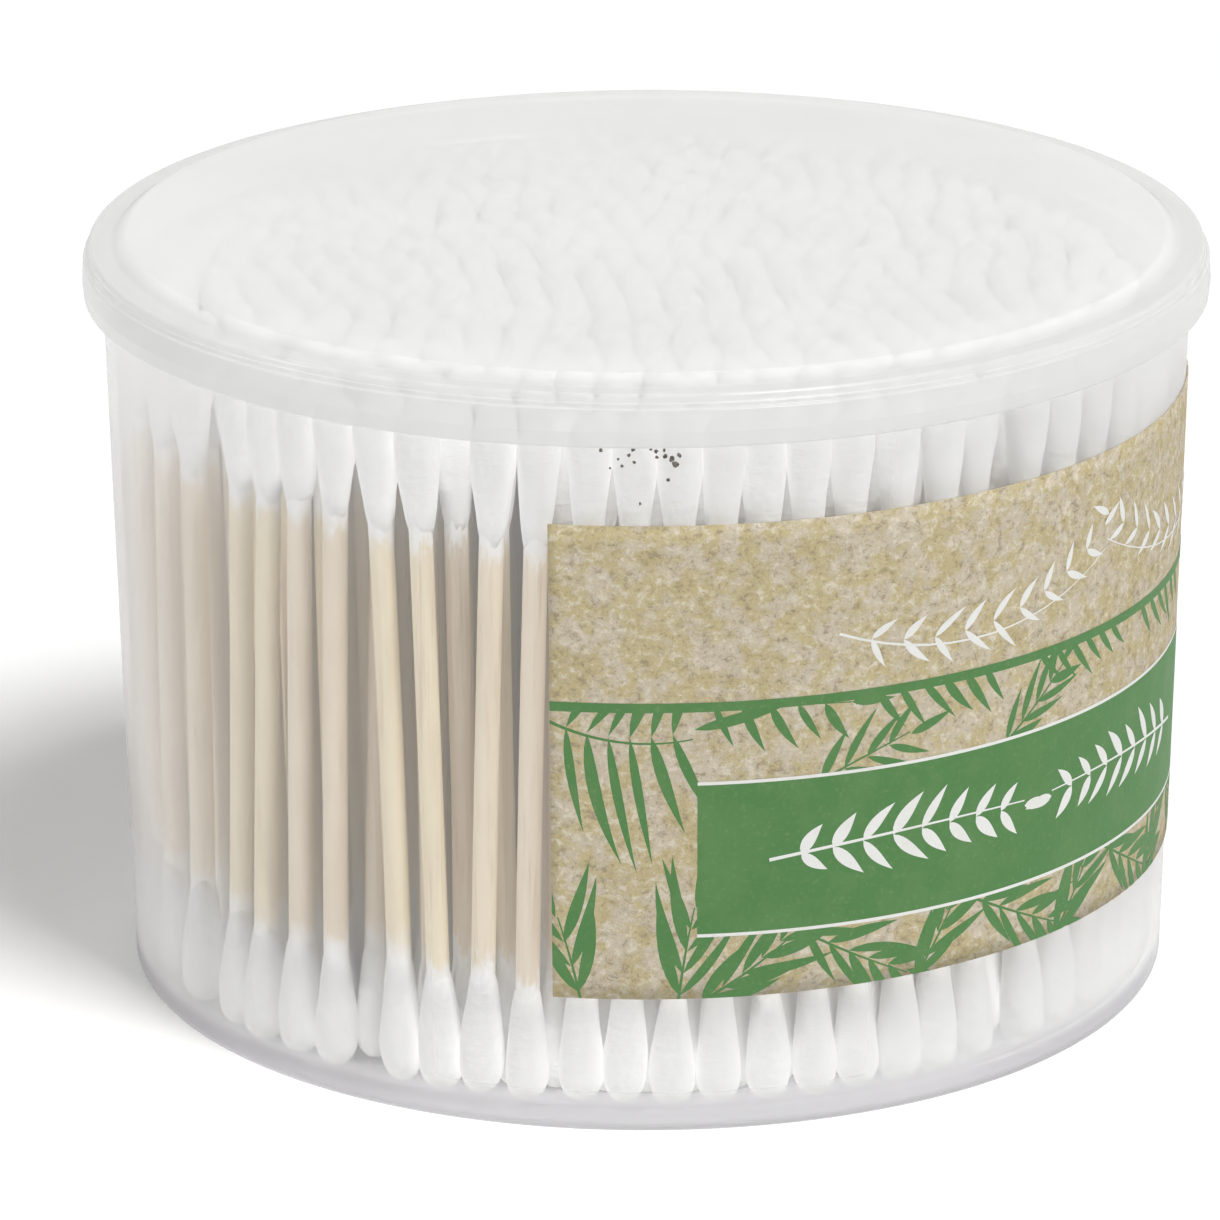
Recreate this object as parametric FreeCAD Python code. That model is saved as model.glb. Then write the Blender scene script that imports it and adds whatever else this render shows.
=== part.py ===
import FreeCAD, Part
import math
import os

os.makedirs("parts", exist_ok=True)

Vector = FreeCAD.Vector

# Driving dimensions, in millimetres and degrees.
# The front of the tub is -Y, and angles round it run from the front towards +X.

# One swab: a bamboo stick with cotton wound on both of its ends
SWAB_LENGTH = 73.0
STICK_DIAMETER = 2.35
TIP_LENGTH = 13.0
TIP_DIAMETER = 4.3
TIP_BELLY_FROM_END = 4.2
TIP_END_DIAMETER = 2.4
TIP_ROOT_DIAMETER = 2.9
SWAB_SIDES = 5

# How the swabs are packed
SWAB_SPACING = 0.19
TIP_GAP = 0.1
SIDE_LEAN_DEG = 1.4
LEAN_WAVES = 2
HEAD_DIP = 1.7
FLUTE_DEPTH = 1.1

# The tub, one thin moulding with a drafted wall, a foot ring and a beaded rim
TUB_BASE_RADIUS = 55.05
WALL_DRAFT_DEG = 1.46
WALL_THICKNESS = 1.0
FLOOR_THICKNESS = 1.2
FOOT_HEIGHT = 0.9
FOOT_WIDTH = 1.2
BASE_CORNER_RADIUS = 2.5
CORNER_STEPS = 2
INNER_CORNER = 1.3
RIM_ABOVE_SWABS = 3.3
BEAD_PROUD = 0.45
BEAD_HEIGHT = 1.2

# The lid, a press-on cap with a raised panel and a stepped skirt
LID_THICKNESS = 0.9
PANEL_RADIUS = 54.6
PANEL_RISE = 1.05
PANEL_EDGE_SLOPE = 0.3
LID_CLEARANCE = 0.3
RIDGE_PROUD = 0.3
RIDGE_HEIGHT = 0.8
SKIRT_THICKNESS = 0.8
SKIRT_DROP = 4.5
SKIRT_FLARE = 0.15
FLARE_HEIGHT = 1.7
STACK_STEP = 0.3
STACK_STEP_DROP = 1.2

# The paper label round the front and the right-hand side of the tub
LABEL_START_DEG = -10.2
LABEL_END_DEG = 101.0
LABEL_BOTTOM = 15.0
LABEL_HEIGHT = 50.4
LABEL_THICKNESS = 0.15
GLUE_THICKNESS = 0.05

# Heights and radii that follow from the driving dimensions
DRAFT = math.tan(math.radians(WALL_DRAFT_DEG))
FLOOR_TOP = FOOT_HEIGHT + FLOOR_THICKNESS
SWAB_BOTTOM = FLOOR_TOP + TIP_GAP
SWAB_TOP = SWAB_BOTTOM + SWAB_LENGTH
LOWER_ROOT = SWAB_BOTTOM + TIP_LENGTH
UPPER_ROOT = SWAB_TOP - TIP_LENGTH
RIM_TOP = SWAB_TOP + RIM_ABOVE_SWABS
SWAB_PITCH = TIP_DIAMETER + SWAB_SPACING
ROW_DEPTH = SWAB_PITCH * math.sqrt(3) / 2


def wall_radius(height):
    """Radius of the tub wall's outer face at a height."""
    return TUB_BASE_RADIUS + height * DRAFT


def inner_radius(height):
    """Radius of the tub wall's inner face at a height."""
    return wall_radius(height) - WALL_THICKNESS


# The outer row stands on the floor just inside the corner, and leans out with the wall
ROW_BASE_RADIUS = inner_radius(FLOOR_TOP) - INNER_CORNER - TIP_END_DIAMETER / 2 - TIP_GAP
ROW_TOP_RADIUS = inner_radius(SWAB_TOP - TIP_BELLY_FROM_END) - TIP_DIAMETER / 2 - TIP_GAP
ROW_LEAN = math.atan2(ROW_TOP_RADIUS - ROW_BASE_RADIUS, SWAB_LENGTH - TIP_BELLY_FROM_END)
ROW_COUNT = int(round(2 * math.pi * ROW_BASE_RADIUS / SWAB_PITCH))


def row_radius(height):
    """Radius of the outer row's swab axes at a height."""
    return ROW_BASE_RADIUS + (height - SWAB_BOTTOM) * math.tan(ROW_LEAN)


def outline(points):
    """Flat face in the XZ plane from a closed loop of (radius, height) points.

    A sloping edge is a spline of one span, which keeps a long turned wall light.
    """
    edges = []
    for start, end in zip(points, points[1:] + points[:1]):
        line = Part.LineSegment(Vector(start[0], 0, start[1]), Vector(end[0], 0, end[1]))
        if start[0] != end[0] and start[1] != end[1]:
            line = line.toBSpline()
        edges.append(line.toShape())
    return Part.Face(Part.Wire(edges))


def turned(points):
    """Solid of revolution about Z from a closed loop of (radius, height) points."""
    return outline(points).revolve(Vector(0, 0, 0), Vector(0, 0, 1), 360)


def polyhedron(polygons):
    """Closed solid from flat polygons, each a list of corner points."""
    faces = []
    for corners in polygons:
        faces.append(Part.Face(Part.makePolygon(corners + corners[:1])))
    shell = Part.makeShell(faces)
    shell.sewShape()
    solid = Part.makeSolid(shell)
    if solid.Volume < 0:
        solid.reverse()
    return solid


def ring_stack(rings):
    """Closed solid from rings of points, each ring with as many points as the next."""
    polygons = [rings[0][::-1], rings[-1]]
    for lower, upper in zip(rings, rings[1:]):
        for index in range(len(lower)):
            after = (index + 1) % len(lower)
            polygons.append([lower[index], lower[after], upper[after], upper[index]])
    return polyhedron(polygons)


def polygon_ring(radius, height, sides):
    """Corners of a regular polygon about the Z axis."""
    ring = []
    for index in range(sides):
        angle = 2 * math.pi * index / sides
        ring.append(Vector(radius * math.cos(angle), radius * math.sin(angle), height))
    return ring


def fluted_ring(radius, height, flutes):
    """Corners of a round outline with a ridge for each swab, in proportion to its radius."""
    ring = []
    valley = radius * (1 - FLUTE_DEPTH / ROW_BASE_RADIUS)
    for index in range(2 * flutes):
        angle = math.pi * index / flutes
        reach = valley if index % 2 else radius
        ring.append(Vector(reach * math.cos(angle), reach * math.sin(angle), height))
    return ring


def base_corner():
    """Points of the tub's rounded outer corner, from the foot ring up to the drafted wall."""
    draft = math.radians(WALL_DRAFT_DEG)
    centre = wall_radius(BASE_CORNER_RADIUS) - BASE_CORNER_RADIUS / math.cos(draft)
    points = []
    for step in range(CORNER_STEPS + 1):
        angle = (math.pi / 2 - draft) * step / CORNER_STEPS - math.pi / 2
        radius = centre + BASE_CORNER_RADIUS * math.cos(angle)
        points.append((radius, BASE_CORNER_RADIUS * (1 + math.sin(angle))))
    return points


def make_tub():
    """Drafted wall, rounded base corner on a foot ring, and a bead round the rim."""
    corner = base_corner()
    foot_inside = corner[0][0] - FOOT_WIDTH
    bead_radius = wall_radius(RIM_TOP) + BEAD_PROUD
    bead_bottom = RIM_TOP - BEAD_HEIGHT
    return turned([
        (0, FOOT_HEIGHT),
        (foot_inside, FOOT_HEIGHT),
        (foot_inside, 0),
        *corner,
        (wall_radius(bead_bottom - BEAD_PROUD), bead_bottom - BEAD_PROUD),
        (bead_radius, bead_bottom),
        (bead_radius, RIM_TOP),
        (inner_radius(RIM_TOP), RIM_TOP),
        (inner_radius(FLOOR_TOP + INNER_CORNER), FLOOR_TOP + INNER_CORNER),
        (inner_radius(FLOOR_TOP) - INNER_CORNER, FLOOR_TOP),
        (0, FLOOR_TOP),
    ])


def make_lid():
    """Cap that seats on the rim, with a ridge inside the skirt that snaps under the bead."""
    ridge = wall_radius(RIM_TOP) + BEAD_PROUD + LID_CLEARANCE
    inner = ridge + RIDGE_PROUD
    outer = inner + SKIRT_THICKNESS
    bottom = RIM_TOP - SKIRT_DROP
    shoulder = RIM_TOP + LID_THICKNESS
    panel_top = shoulder + PANEL_RISE
    panel_under = panel_top - LID_THICKNESS
    recess = PANEL_RADIUS - LID_THICKNESS
    step = shoulder - STACK_STEP_DROP
    return turned([
        (0, panel_under),
        (recess, panel_under),
        (recess + PANEL_EDGE_SLOPE, RIM_TOP),
        (inner, RIM_TOP),
        (inner, bottom + RIDGE_HEIGHT),
        (ridge, bottom),
        (outer, bottom),
        (outer + SKIRT_FLARE, bottom + FLARE_HEIGHT),
        (outer, step - STACK_STEP),
        (outer - STACK_STEP, step),
        (outer - 2 * STACK_STEP, shoulder),
        (PANEL_RADIUS + PANEL_EDGE_SLOPE, shoulder),
        (PANEL_RADIUS, panel_top),
        (0, panel_top),
    ])


def make_label():
    """Thin paper sheet wrapped on the tub's outer wall, over a layer of glue."""
    top = LABEL_BOTTOM + LABEL_HEIGHT
    back_bottom = wall_radius(LABEL_BOTTOM) + GLUE_THICKNESS
    back_top = wall_radius(top) + GLUE_THICKNESS
    face = outline([
        (back_bottom, LABEL_BOTTOM),
        (back_bottom + LABEL_THICKNESS, LABEL_BOTTOM),
        (back_top + LABEL_THICKNESS, top),
        (back_top, top),
    ])
    face.rotate(Vector(0, 0, 0), Vector(0, 0, 1), LABEL_START_DEG - 90)
    return face.revolve(Vector(0, 0, 0), Vector(0, 0, 1), LABEL_END_DEG - LABEL_START_DEG)


def swab_stick():
    """The stretch of one stick that shows between its two cotton tips, along Z from zero."""
    radius = STICK_DIAMETER / 2
    return ring_stack([
        polygon_ring(radius, TIP_LENGTH, SWAB_SIDES),
        polygon_ring(radius, SWAB_LENGTH - TIP_LENGTH, SWAB_SIDES),
    ])


def swab_tip(end, direction):
    """One cotton tip, narrow at its root, widest at its belly and blunt at its end."""
    rings = [
        polygon_ring(TIP_END_DIAMETER / 2, end, SWAB_SIDES),
        polygon_ring(TIP_DIAMETER / 2, end + direction * TIP_BELLY_FROM_END, SWAB_SIDES),
        polygon_ring(TIP_ROOT_DIAMETER / 2, end + direction * TIP_LENGTH, SWAB_SIDES),
    ]
    return ring_stack(rings[::direction])


def stand_in_row(piece):
    """Copies of one swab's piece round the tub wall.

    Each leans out with the wall, and a little sideways, in slow waves round the row.
    """
    copies = []
    for index in range(ROW_COUNT):
        turn = 360 * index / ROW_COUNT
        side_lean = SIDE_LEAN_DEG * math.sin(math.radians(LEAN_WAVES * turn))
        copy = piece.copy()
        copy.rotate(Vector(0, 0, 0), Vector(1, 0, 0), side_lean)
        copy.rotate(Vector(0, 0, 0), Vector(0, 1, 0), math.degrees(ROW_LEAN))
        copy.translate(Vector(ROW_BASE_RADIUS, 0, SWAB_BOTTOM))
        copy.rotate(Vector(0, 0, 0), Vector(0, 0, 1), turn)
        copies.append(copy)
    return Part.makeCompound(copies)


def second_row_count():
    """How many swabs stand in the row behind the outer one."""
    return int(round(2 * math.pi * (ROW_BASE_RADIUS - ROW_DEPTH) / SWAB_PITCH))


def make_inner_sticks():
    """Sticks behind the outer row, joined, with the second row's sticks as ridges."""
    reach = ROW_DEPTH - STICK_DIAMETER / 2
    flutes = second_row_count()
    return ring_stack([
        fluted_ring(row_radius(LOWER_ROOT) - reach, LOWER_ROOT, flutes),
        fluted_ring(row_radius(UPPER_ROOT) - reach, UPPER_ROOT, flutes),
    ])


def make_inner_lower_tips():
    """Lower cotton tips behind the outer row, joined, with the second row's tips as ridges."""
    radius = ROW_BASE_RADIUS - TIP_DIAMETER / 2 - TIP_GAP
    flutes = second_row_count()
    return ring_stack([
        fluted_ring(radius - FLUTE_DEPTH, SWAB_BOTTOM, flutes),
        fluted_ring(radius, LOWER_ROOT, flutes),
    ])


def honeycomb_cells(field_radius):
    """Cells of a honeycomb, as (column, row) pairs, that lie whole within a radius."""
    cells = []
    limit = field_radius - SWAB_PITCH / math.sqrt(3)
    span = int(2 * field_radius / SWAB_PITCH)
    for row in range(-span, span + 1):
        for column in range(-span, span + 1):
            x, y = cell_centre(column, row)
            if math.hypot(x, y) <= limit:
                cells.append((column, row))
    return cells


def cell_centre(column, row):
    """Centre of a honeycomb cell."""
    return SWAB_PITCH * (column + row / 2), SWAB_PITCH * row * math.sqrt(3) / 2


def make_inner_upper_tips():
    """Upper cotton tips behind the outer row, joined, with one facetted head for each swab.

    A cell's corner is named by the sum of the three cells that meet there, so that
    neighbouring cells share it exactly.
    """
    neighbours = [(1, 0), (0, 1), (-1, 1), (-1, 0), (0, -1), (1, -1)]
    radius = row_radius(UPPER_ROOT) - TIP_DIAMETER / 2 - TIP_GAP
    cells = set(honeycomb_cells(radius))
    dip = SWAB_TOP - HEAD_DIP
    polygons = []
    after = {}

    def corner_point(corner, height):
        x, y = cell_centre(corner[0] / 3, corner[1] / 3)
        return Vector(x, y, height)

    for column, row in sorted(cells):
        peak = Vector(*cell_centre(column, row), SWAB_TOP)
        for side in range(6):
            before, ahead, beyond = neighbours[side - 1], neighbours[side], neighbours[(side + 1) % 6]
            start = (3 * column + before[0] + ahead[0], 3 * row + before[1] + ahead[1])
            end = (3 * column + ahead[0] + beyond[0], 3 * row + ahead[1] + beyond[1])
            polygons.append([corner_point(start, dip), corner_point(end, dip), peak])
            if (column + ahead[0], row + ahead[1]) not in cells:
                after[start] = end
    rim = [min(after)]
    while after[rim[-1]] != rim[0]:
        rim.append(after[rim[-1]])
    for start, end in zip(rim, rim[1:] + rim[:1]):
        polygons.append([
            corner_point(start, UPPER_ROOT),
            corner_point(end, UPPER_ROOT),
            corner_point(end, dip),
            corner_point(start, dip),
        ])
    polygons.append([corner_point(corner, UPPER_ROOT) for corner in rim[::-1]])
    return polyhedron(polygons)


NODES = {
    "tub": make_tub,
    "lid": make_lid,
    "label": make_label,
    "outer_sticks": lambda: stand_in_row(swab_stick()),
    "outer_upper_tips": lambda: stand_in_row(swab_tip(SWAB_LENGTH, -1)),
    "outer_lower_tips": lambda: stand_in_row(swab_tip(0, 1)),
    "inner_sticks": make_inner_sticks,
    "inner_upper_tips": make_inner_upper_tips,
    "inner_lower_tips": make_inner_lower_tips,
}

for node, make in NODES.items():
    shape = make()
    shape.exportStep("parts/" + node + ".step")
    print(node, "valid" if shape.isValid() else "not valid", round(shape.Volume, 1), len(shape.Solids))

print("swabs in the outer row", ROW_COUNT)
print("swabs behind it", len(honeycomb_cells(row_radius(UPPER_ROOT) - TIP_DIAMETER / 2 - TIP_GAP)))
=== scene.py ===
"""A cotton swab tub: a clear tub, a milky lid, a printed kraft label and 500 bamboo cotton swabs.

Sizes are in millimetres up to the point where a mesh is made, and the meshes are in metres.
The front of the tub is -Y, and angles round it run from the front towards +X.
"""
import logging
import math
from dataclasses import dataclass, field
from enum import Enum
from typing import Any

import bpy
import numpy as np
from mathutils import Matrix, Vector


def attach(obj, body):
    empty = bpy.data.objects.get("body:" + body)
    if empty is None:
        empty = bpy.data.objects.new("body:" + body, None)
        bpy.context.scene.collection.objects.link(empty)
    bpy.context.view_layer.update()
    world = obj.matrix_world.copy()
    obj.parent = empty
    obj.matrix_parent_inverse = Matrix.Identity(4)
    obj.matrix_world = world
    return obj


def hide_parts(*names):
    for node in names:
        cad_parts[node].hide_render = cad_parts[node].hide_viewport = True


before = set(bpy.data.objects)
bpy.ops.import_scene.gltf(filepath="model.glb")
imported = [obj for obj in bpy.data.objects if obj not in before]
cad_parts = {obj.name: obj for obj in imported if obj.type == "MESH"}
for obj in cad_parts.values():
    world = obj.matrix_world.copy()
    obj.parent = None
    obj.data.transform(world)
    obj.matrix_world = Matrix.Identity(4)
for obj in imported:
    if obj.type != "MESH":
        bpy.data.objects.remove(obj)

MM = 0.001
PICTURE_SIDE_PX = 1220
STEM_STEPS = 14
LEAF_STEPS = 9
# A cotton tip's radii in millimetres, and where they lie from its end, 0, to its root, 1.
HEAD_KNOTS = (0, 0.012, 0.045, 0.10, 0.17, 0.26, 0.36, 0.48, 0.62, 0.76, 0.88, 0.96, 1)
HEAD_RADII = (0.35, 0.90, 1.42, 1.84, 2.07, 2.15, 2.10, 1.94, 1.74, 1.55, 1.38, 1.22, 1.06)
# Waves that make a tip lumpy: depth as a share of its radius, waves round it, turn along it.
LUMPS = ((0.030, 2, 3), (0.022, 3, -7), (0.016, 0, 9), (0.012, 5, 14))
# Waves that make a tip's root uneven: depth in millimetres, waves round it, number of its phase.
ROOT_WAVES = ((0.35, 2, 2), (0.25, 3, 0), (0.2, 5, 1))
# Rings of a stick, in millimetres from a tip's root, and how much fluff clings to each.
FLUFF_PLACES = (-4.0, -1.0, 0.0, 0.9, 1.8, 3.0, 5.0)
FLUFF_SHARES = (1.0, 1.0, 0.95, 0.62, 0.34, 0.12, 0.0)
log = logging.getLogger("swab_tub")

FlatPoint = tuple[float, float]
Span = tuple[float, float]
Colour = tuple[float, float, float]
Scale = tuple[float, float, float]


class Grade(Enum):
    """The two grades of plastic on the tub."""

    CLEAR = "clear_plastic"
    MILKY = "milky_plastic"


class SwabEnd(Enum):
    """The two ends of a swab."""

    LOWER = "lower"
    UPPER = "upper"


class Print(Enum):
    """What a spot of the label shows, as the number of its material on the label."""

    KRAFT = 0
    GREEN = 1
    WHITE = 2


class NodeDesk:
    """Sets out and links the nodes of one material or world."""

    def __init__(self, tree: bpy.types.NodeTree) -> None:
        """Clears a node tree.

        Args:
            tree: The node tree to work on.
        """
        self.tree = tree
        tree.nodes.clear()

    def add(self, kind: str, values: dict[Any, Any] | None = None,
            **settings: Any) -> bpy.types.Node:
        """Adds a node.

        Args:
            kind: Blender's name of the node, without "ShaderNode" in front.
            values: What each input holds or is linked to, by the input's name or number.
            **settings: Properties of the node itself.

        Returns:
            The new node.
        """
        node = self.tree.nodes.new("ShaderNode" + kind)
        for name, setting in settings.items():
            setattr(node, name, setting)
        for key, value in (values or {}).items():
            if isinstance(value, bpy.types.NodeSocket):
                self.tree.links.new(value, node.inputs[key])
            else:
                node.inputs[key].default_value = value
        return node

    def noise(self, where: bpy.types.NodeSocket, scale: float, detail: float = 4.0,
              roughness: float = 0.55) -> bpy.types.NodeSocket:
        """Adds a noise texture.

        Args:
            where: The coordinates it reads.
            scale: How many lumps there are to a metre.
            detail: How many finer layers it adds.
            roughness: How strong the finer layers are.

        Returns:
            The noise value's socket.
        """
        values = {"Vector": where, "Scale": scale, "Detail": detail, "Roughness": roughness}
        return self.add("TexNoise", values).outputs["Fac"]

    def stretched(self, where: bpy.types.NodeSocket, scale: Scale,
                  tilt_deg: float = 0.0) -> bpy.types.NodeSocket:
        """Scales and tilts coordinates, so that a texture on them runs into streaks.

        Args:
            where: The coordinates to change.
            scale: How much each axis is scaled.
            tilt_deg: How far they turn about Y, in degrees.

        Returns:
            The new coordinates' socket.
        """
        values = {"Vector": where, "Scale": scale, "Rotation": (0, math.radians(tilt_deg), 0)}
        return self.add("Mapping", values).outputs["Vector"]

    def levels(self, value: bpy.types.NodeSocket, low: float, high: float, to_low: float = 0.0,
               to_high: float = 1.0) -> bpy.types.NodeSocket:
        """Maps one range of a value smoothly onto another, and clamps it there.

        Args:
            value: The value to map.
            low: Start of the range that is read.
            high: End of the range that is read.
            to_low: Result at the start.
            to_high: Result at the end.

        Returns:
            The mapped value's socket.
        """
        values = {"Value": value, "From Min": low, "From Max": high, "To Min": to_low,
                  "To Max": to_high}
        return self.add("MapRange", values, interpolation_type="SMOOTHSTEP").outputs["Result"]

    def blend(self, share: Any, first: Any, second: Any) -> bpy.types.NodeSocket:
        """Mixes two colours.

        Args:
            share: How much of the second shows, as a number or a socket.
            first: The first colour, as a colour or a socket.
            second: The second colour, as a colour or a socket.

        Returns:
            The mixed colour's socket.
        """
        node = self.add("Mix", {"Factor": share}, data_type="RGBA")
        for number, colour in ((6, first), (7, second)):
            if isinstance(colour, bpy.types.NodeSocket):
                self.tree.links.new(colour, node.inputs[number])
            else:
                node.inputs[number].default_value = (*colour, 1)
        return node.outputs[2]

    def maths(self, operation: str, first: Any, second: Any = 0.0,
              third: Any = 0.0) -> bpy.types.NodeSocket:
        """Adds a sum of two or three values.

        Args:
            operation: Blender's name of the sum.
            first: The first value, as a number or a socket.
            second: The second value, as a number or a socket.
            third: The third value, as a number or a socket.

        Returns:
            The result's socket.
        """
        return self.add("Math", {0: first, 1: second, 2: third}, operation=operation).outputs[0]

    def bump(self, height: bpy.types.NodeSocket, depth: float, strength: float = 1.0,
             over: bpy.types.NodeSocket | None = None) -> bpy.types.NodeSocket:
        """Adds a bump.

        Args:
            height: The height that it reads, from 0 to 1.
            depth: What 1 stands for, in metres.
            strength: How much of it shows.
            over: The normal that it adds to, if any.

        Returns:
            The new normal's socket.
        """
        values = {"Height": height, "Distance": depth, "Strength": strength}
        if over is not None:
            values["Normal"] = over
        return self.add("Bump", values).outputs["Normal"]

    def height_in(self, where: bpy.types.NodeSocket) -> bpy.types.NodeSocket:
        """Picks the height out of coordinates."""
        return self.add("SeparateXYZ", {"Vector": where}).outputs["Z"]

    def mark(self, name: str) -> bpy.types.NodeSocket:
        """Reads a mark that the mesh keeps for each of its points."""
        return self.add("Attribute", attribute_name=name).outputs["Fac"]

    def mixed(self, share: Any, first: bpy.types.NodeSocket,
              second: bpy.types.NodeSocket) -> bpy.types.NodeSocket:
        """Mixes two shaders.

        Args:
            share: How much of the second shows, as a number or a socket.
            first: The first shader.
            second: The second shader.

        Returns:
            The mixed shader's socket.
        """
        return self.add("MixShader", {0: share, 1: first, 2: second}).outputs[0]

    def surface(self, colour: bpy.types.NodeSocket, roughness: float, gloss: float,
                normal: bpy.types.NodeSocket, **more: float) -> bpy.types.NodeSocket:
        """Adds the shader of a plain opaque surface.

        Args:
            colour: Its colour.
            roughness: Its roughness.
            gloss: How strongly it shines.
            normal: Its normal.
            **more: Other inputs, with underscores for the spaces in their names.

        Returns:
            The shader's socket.
        """
        values = {"Base Color": colour, "Roughness": roughness, "Specular IOR Level": gloss,
                  "Normal": normal}
        values.update({name.replace("_", " "): value for name, value in more.items()})
        return self.add("BsdfPrincipled", values).outputs[0]

    def seen(self) -> bpy.types.NodeSocket:
        """Tells what the camera sees, straight or in gloss or glass, from what lights the pieces.

        Returns:
            The socket of 1 where it is seen, and of 0 where it only lights.
        """
        path = self.add("LightPath").outputs
        seen = self.maths("MAXIMUM", path["Is Camera Ray"], path["Is Glossy Ray"])
        return self.maths("MAXIMUM", seen, path["Is Transmission Ray"])

    def finish(self, surface: bpy.types.NodeSocket) -> None:
        """Links a shader to the output."""
        self.add("OutputMaterial", {"Surface": surface})


def new_material(name: str) -> tuple[bpy.types.Material, NodeDesk, bpy.types.NodeSocket]:
    """Makes a material with an empty node tree.

    Args:
        name: Name of the material.

    Returns:
        The material, its desk, and the socket of the object's own coordinates.
    """
    material = bpy.data.materials.new(name)
    material.use_nodes = True
    desk = NodeDesk(material.node_tree)
    return material, desk, desk.add("TexCoord").outputs["Object"]


@dataclass(frozen=True)
class MouldedPlastic:
    """Thin moulded plastic, which lets through less the flatter it is seen.

    Attributes:
        grade: Which plastic it is.
        tint: Colour of the milk in it.
        haze_facing: Share of each of a wall's two faces that is milk where it is seen straight on.
        haze_grazing: The same share where it is seen edge on.
        haze_power: How late the haze thickens towards the edge.
        held_back: Share of the milk that stops light from the pieces round it.
        passes: Share of lamplight that each face lets through, as milk mostly scatters it on.
        low_milk: How much more milk shows in the thicker low part of the moulding.
        low_shade_tint: Colour of the milk there, darker than the tint: painted shade for the low
            part, which is lit less than the rest.
        low_from: Height in metres up to which the low part has its extra milk and its painted shade
            in full.
        low_to: Height in metres above which it has neither.
        glow: Share of the milk that is lit from behind.
        roughness: Roughness of its gloss.
        gloss_facing: Share of gloss where it is seen straight on.
        gloss_gain: How much more gloss there is where it is seen edge on.
        gloss_power: How late the gloss grows towards the edge.
        flow_scale: Lumps to a metre of the moulding's uneven flow.
        flow_depth: Height of those lumps, in metres.
        flow_shade: How much of the tint is left in the darker lumps.
    """

    grade: Grade
    tint: Colour
    haze_facing: float
    haze_grazing: float
    haze_power: float
    held_back: float
    passes: float
    low_milk: float
    low_shade_tint: Colour
    low_from: float
    low_to: float
    glow: float
    roughness: float
    gloss_facing: float = 0.035
    gloss_gain: float = 0.75
    gloss_power: float = 5.0
    flow_scale: float = 55.0
    flow_depth: float = 0.00022
    flow_shade: float = 0.985

    def build(self) -> bpy.types.Material:
        """Builds the material.

        Returns:
            The finished material.
        """
        material, desk, where = new_material(self.grade.value)
        flow = desk.noise(desk.stretched(where, (1, 1, 0.35)), self.flow_scale, 0)
        normal = desk.bump(flow, self.flow_depth, 0.5)
        facing = desk.add("LayerWeight", {"Blend": 0.5}).outputs["Facing"]
        path = desk.add("LightPath").outputs
        # Mask of the low part of the moulding: there it shows more milk, as the plastic is thicker,
        # and a darker colour, which is painted shade.
        low_band = desk.levels(desk.height_in(where), self.low_from, self.low_to, 1.0, 0.0)
        haze = self.haze(desk, facing, low_band, path["Is Diffuse Ray"])
        darker = tuple(self.flow_shade * part for part in self.tint)
        colour = desk.blend(desk.levels(flow, 0.3, 0.7), self.tint, darker)
        # Painted shade: the milk of the low part is given the darker low colour.
        colour = desk.blend(low_band, colour, self.low_shade_tint)
        body = desk.surface(colour, self.roughness, 0.0, normal)
        glow = desk.add("BsdfTranslucent", {"Color": colour}).outputs[0]
        clear = desk.add("BsdfTransparent").outputs[0]
        wall = desk.mixed(haze, clear, desk.mixed(self.glow, body, glow))
        gloss = desk.add("BsdfGlossy", {"Roughness": self.roughness, "Normal": normal}).outputs[0]
        edge = desk.maths("POWER", facing, self.gloss_power)
        share = desk.maths("MULTIPLY_ADD", edge, self.gloss_gain, self.gloss_facing)
        far_face = desk.add("NewGeometry").outputs["Backfacing"]
        seen = desk.mixed(far_face, desk.mixed(share, wall, gloss), clear)
        lit_through = desk.add("BsdfTransparent", {"Color": (*(self.passes,) * 3, 1)}).outputs[0]
        desk.finish(desk.mixed(path["Is Shadow Ray"], seen, lit_through))
        return material

    def haze(self, desk: NodeDesk, facing: bpy.types.NodeSocket, low_band: bpy.types.NodeSocket,
             bounce: bpy.types.NodeSocket) -> bpy.types.NodeSocket:
        """Works out how much milk a wall shows.

        The face that turns to the eye shows the milk of both, and the other face is left clear.

        Args:
            desk: The material's desk.
            facing: How far the wall is seen edge on.
            low_band: How far a point lies in the thicker low part of the moulding, from 0 to 1.
            bounce: Whether the ray comes from another surface.

        Returns:
            The socket of the share that is milk.
        """
        edge = desk.maths("POWER", facing, self.haze_power)
        gain = self.haze_grazing - self.haze_facing
        one = desk.maths("MULTIPLY_ADD", edge, gain, self.haze_facing)
        one = desk.maths("MULTIPLY_ADD", low_band, self.low_milk, one)
        gap = desk.maths("SUBTRACT", 1.0, one)
        both = desk.maths("SUBTRACT", 1.0, desk.maths("MULTIPLY", gap, gap))
        held = desk.maths("MULTIPLY_ADD", bounce, self.held_back - 1, 1.0)
        return desk.maths("MULTIPLY", both, held)


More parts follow.
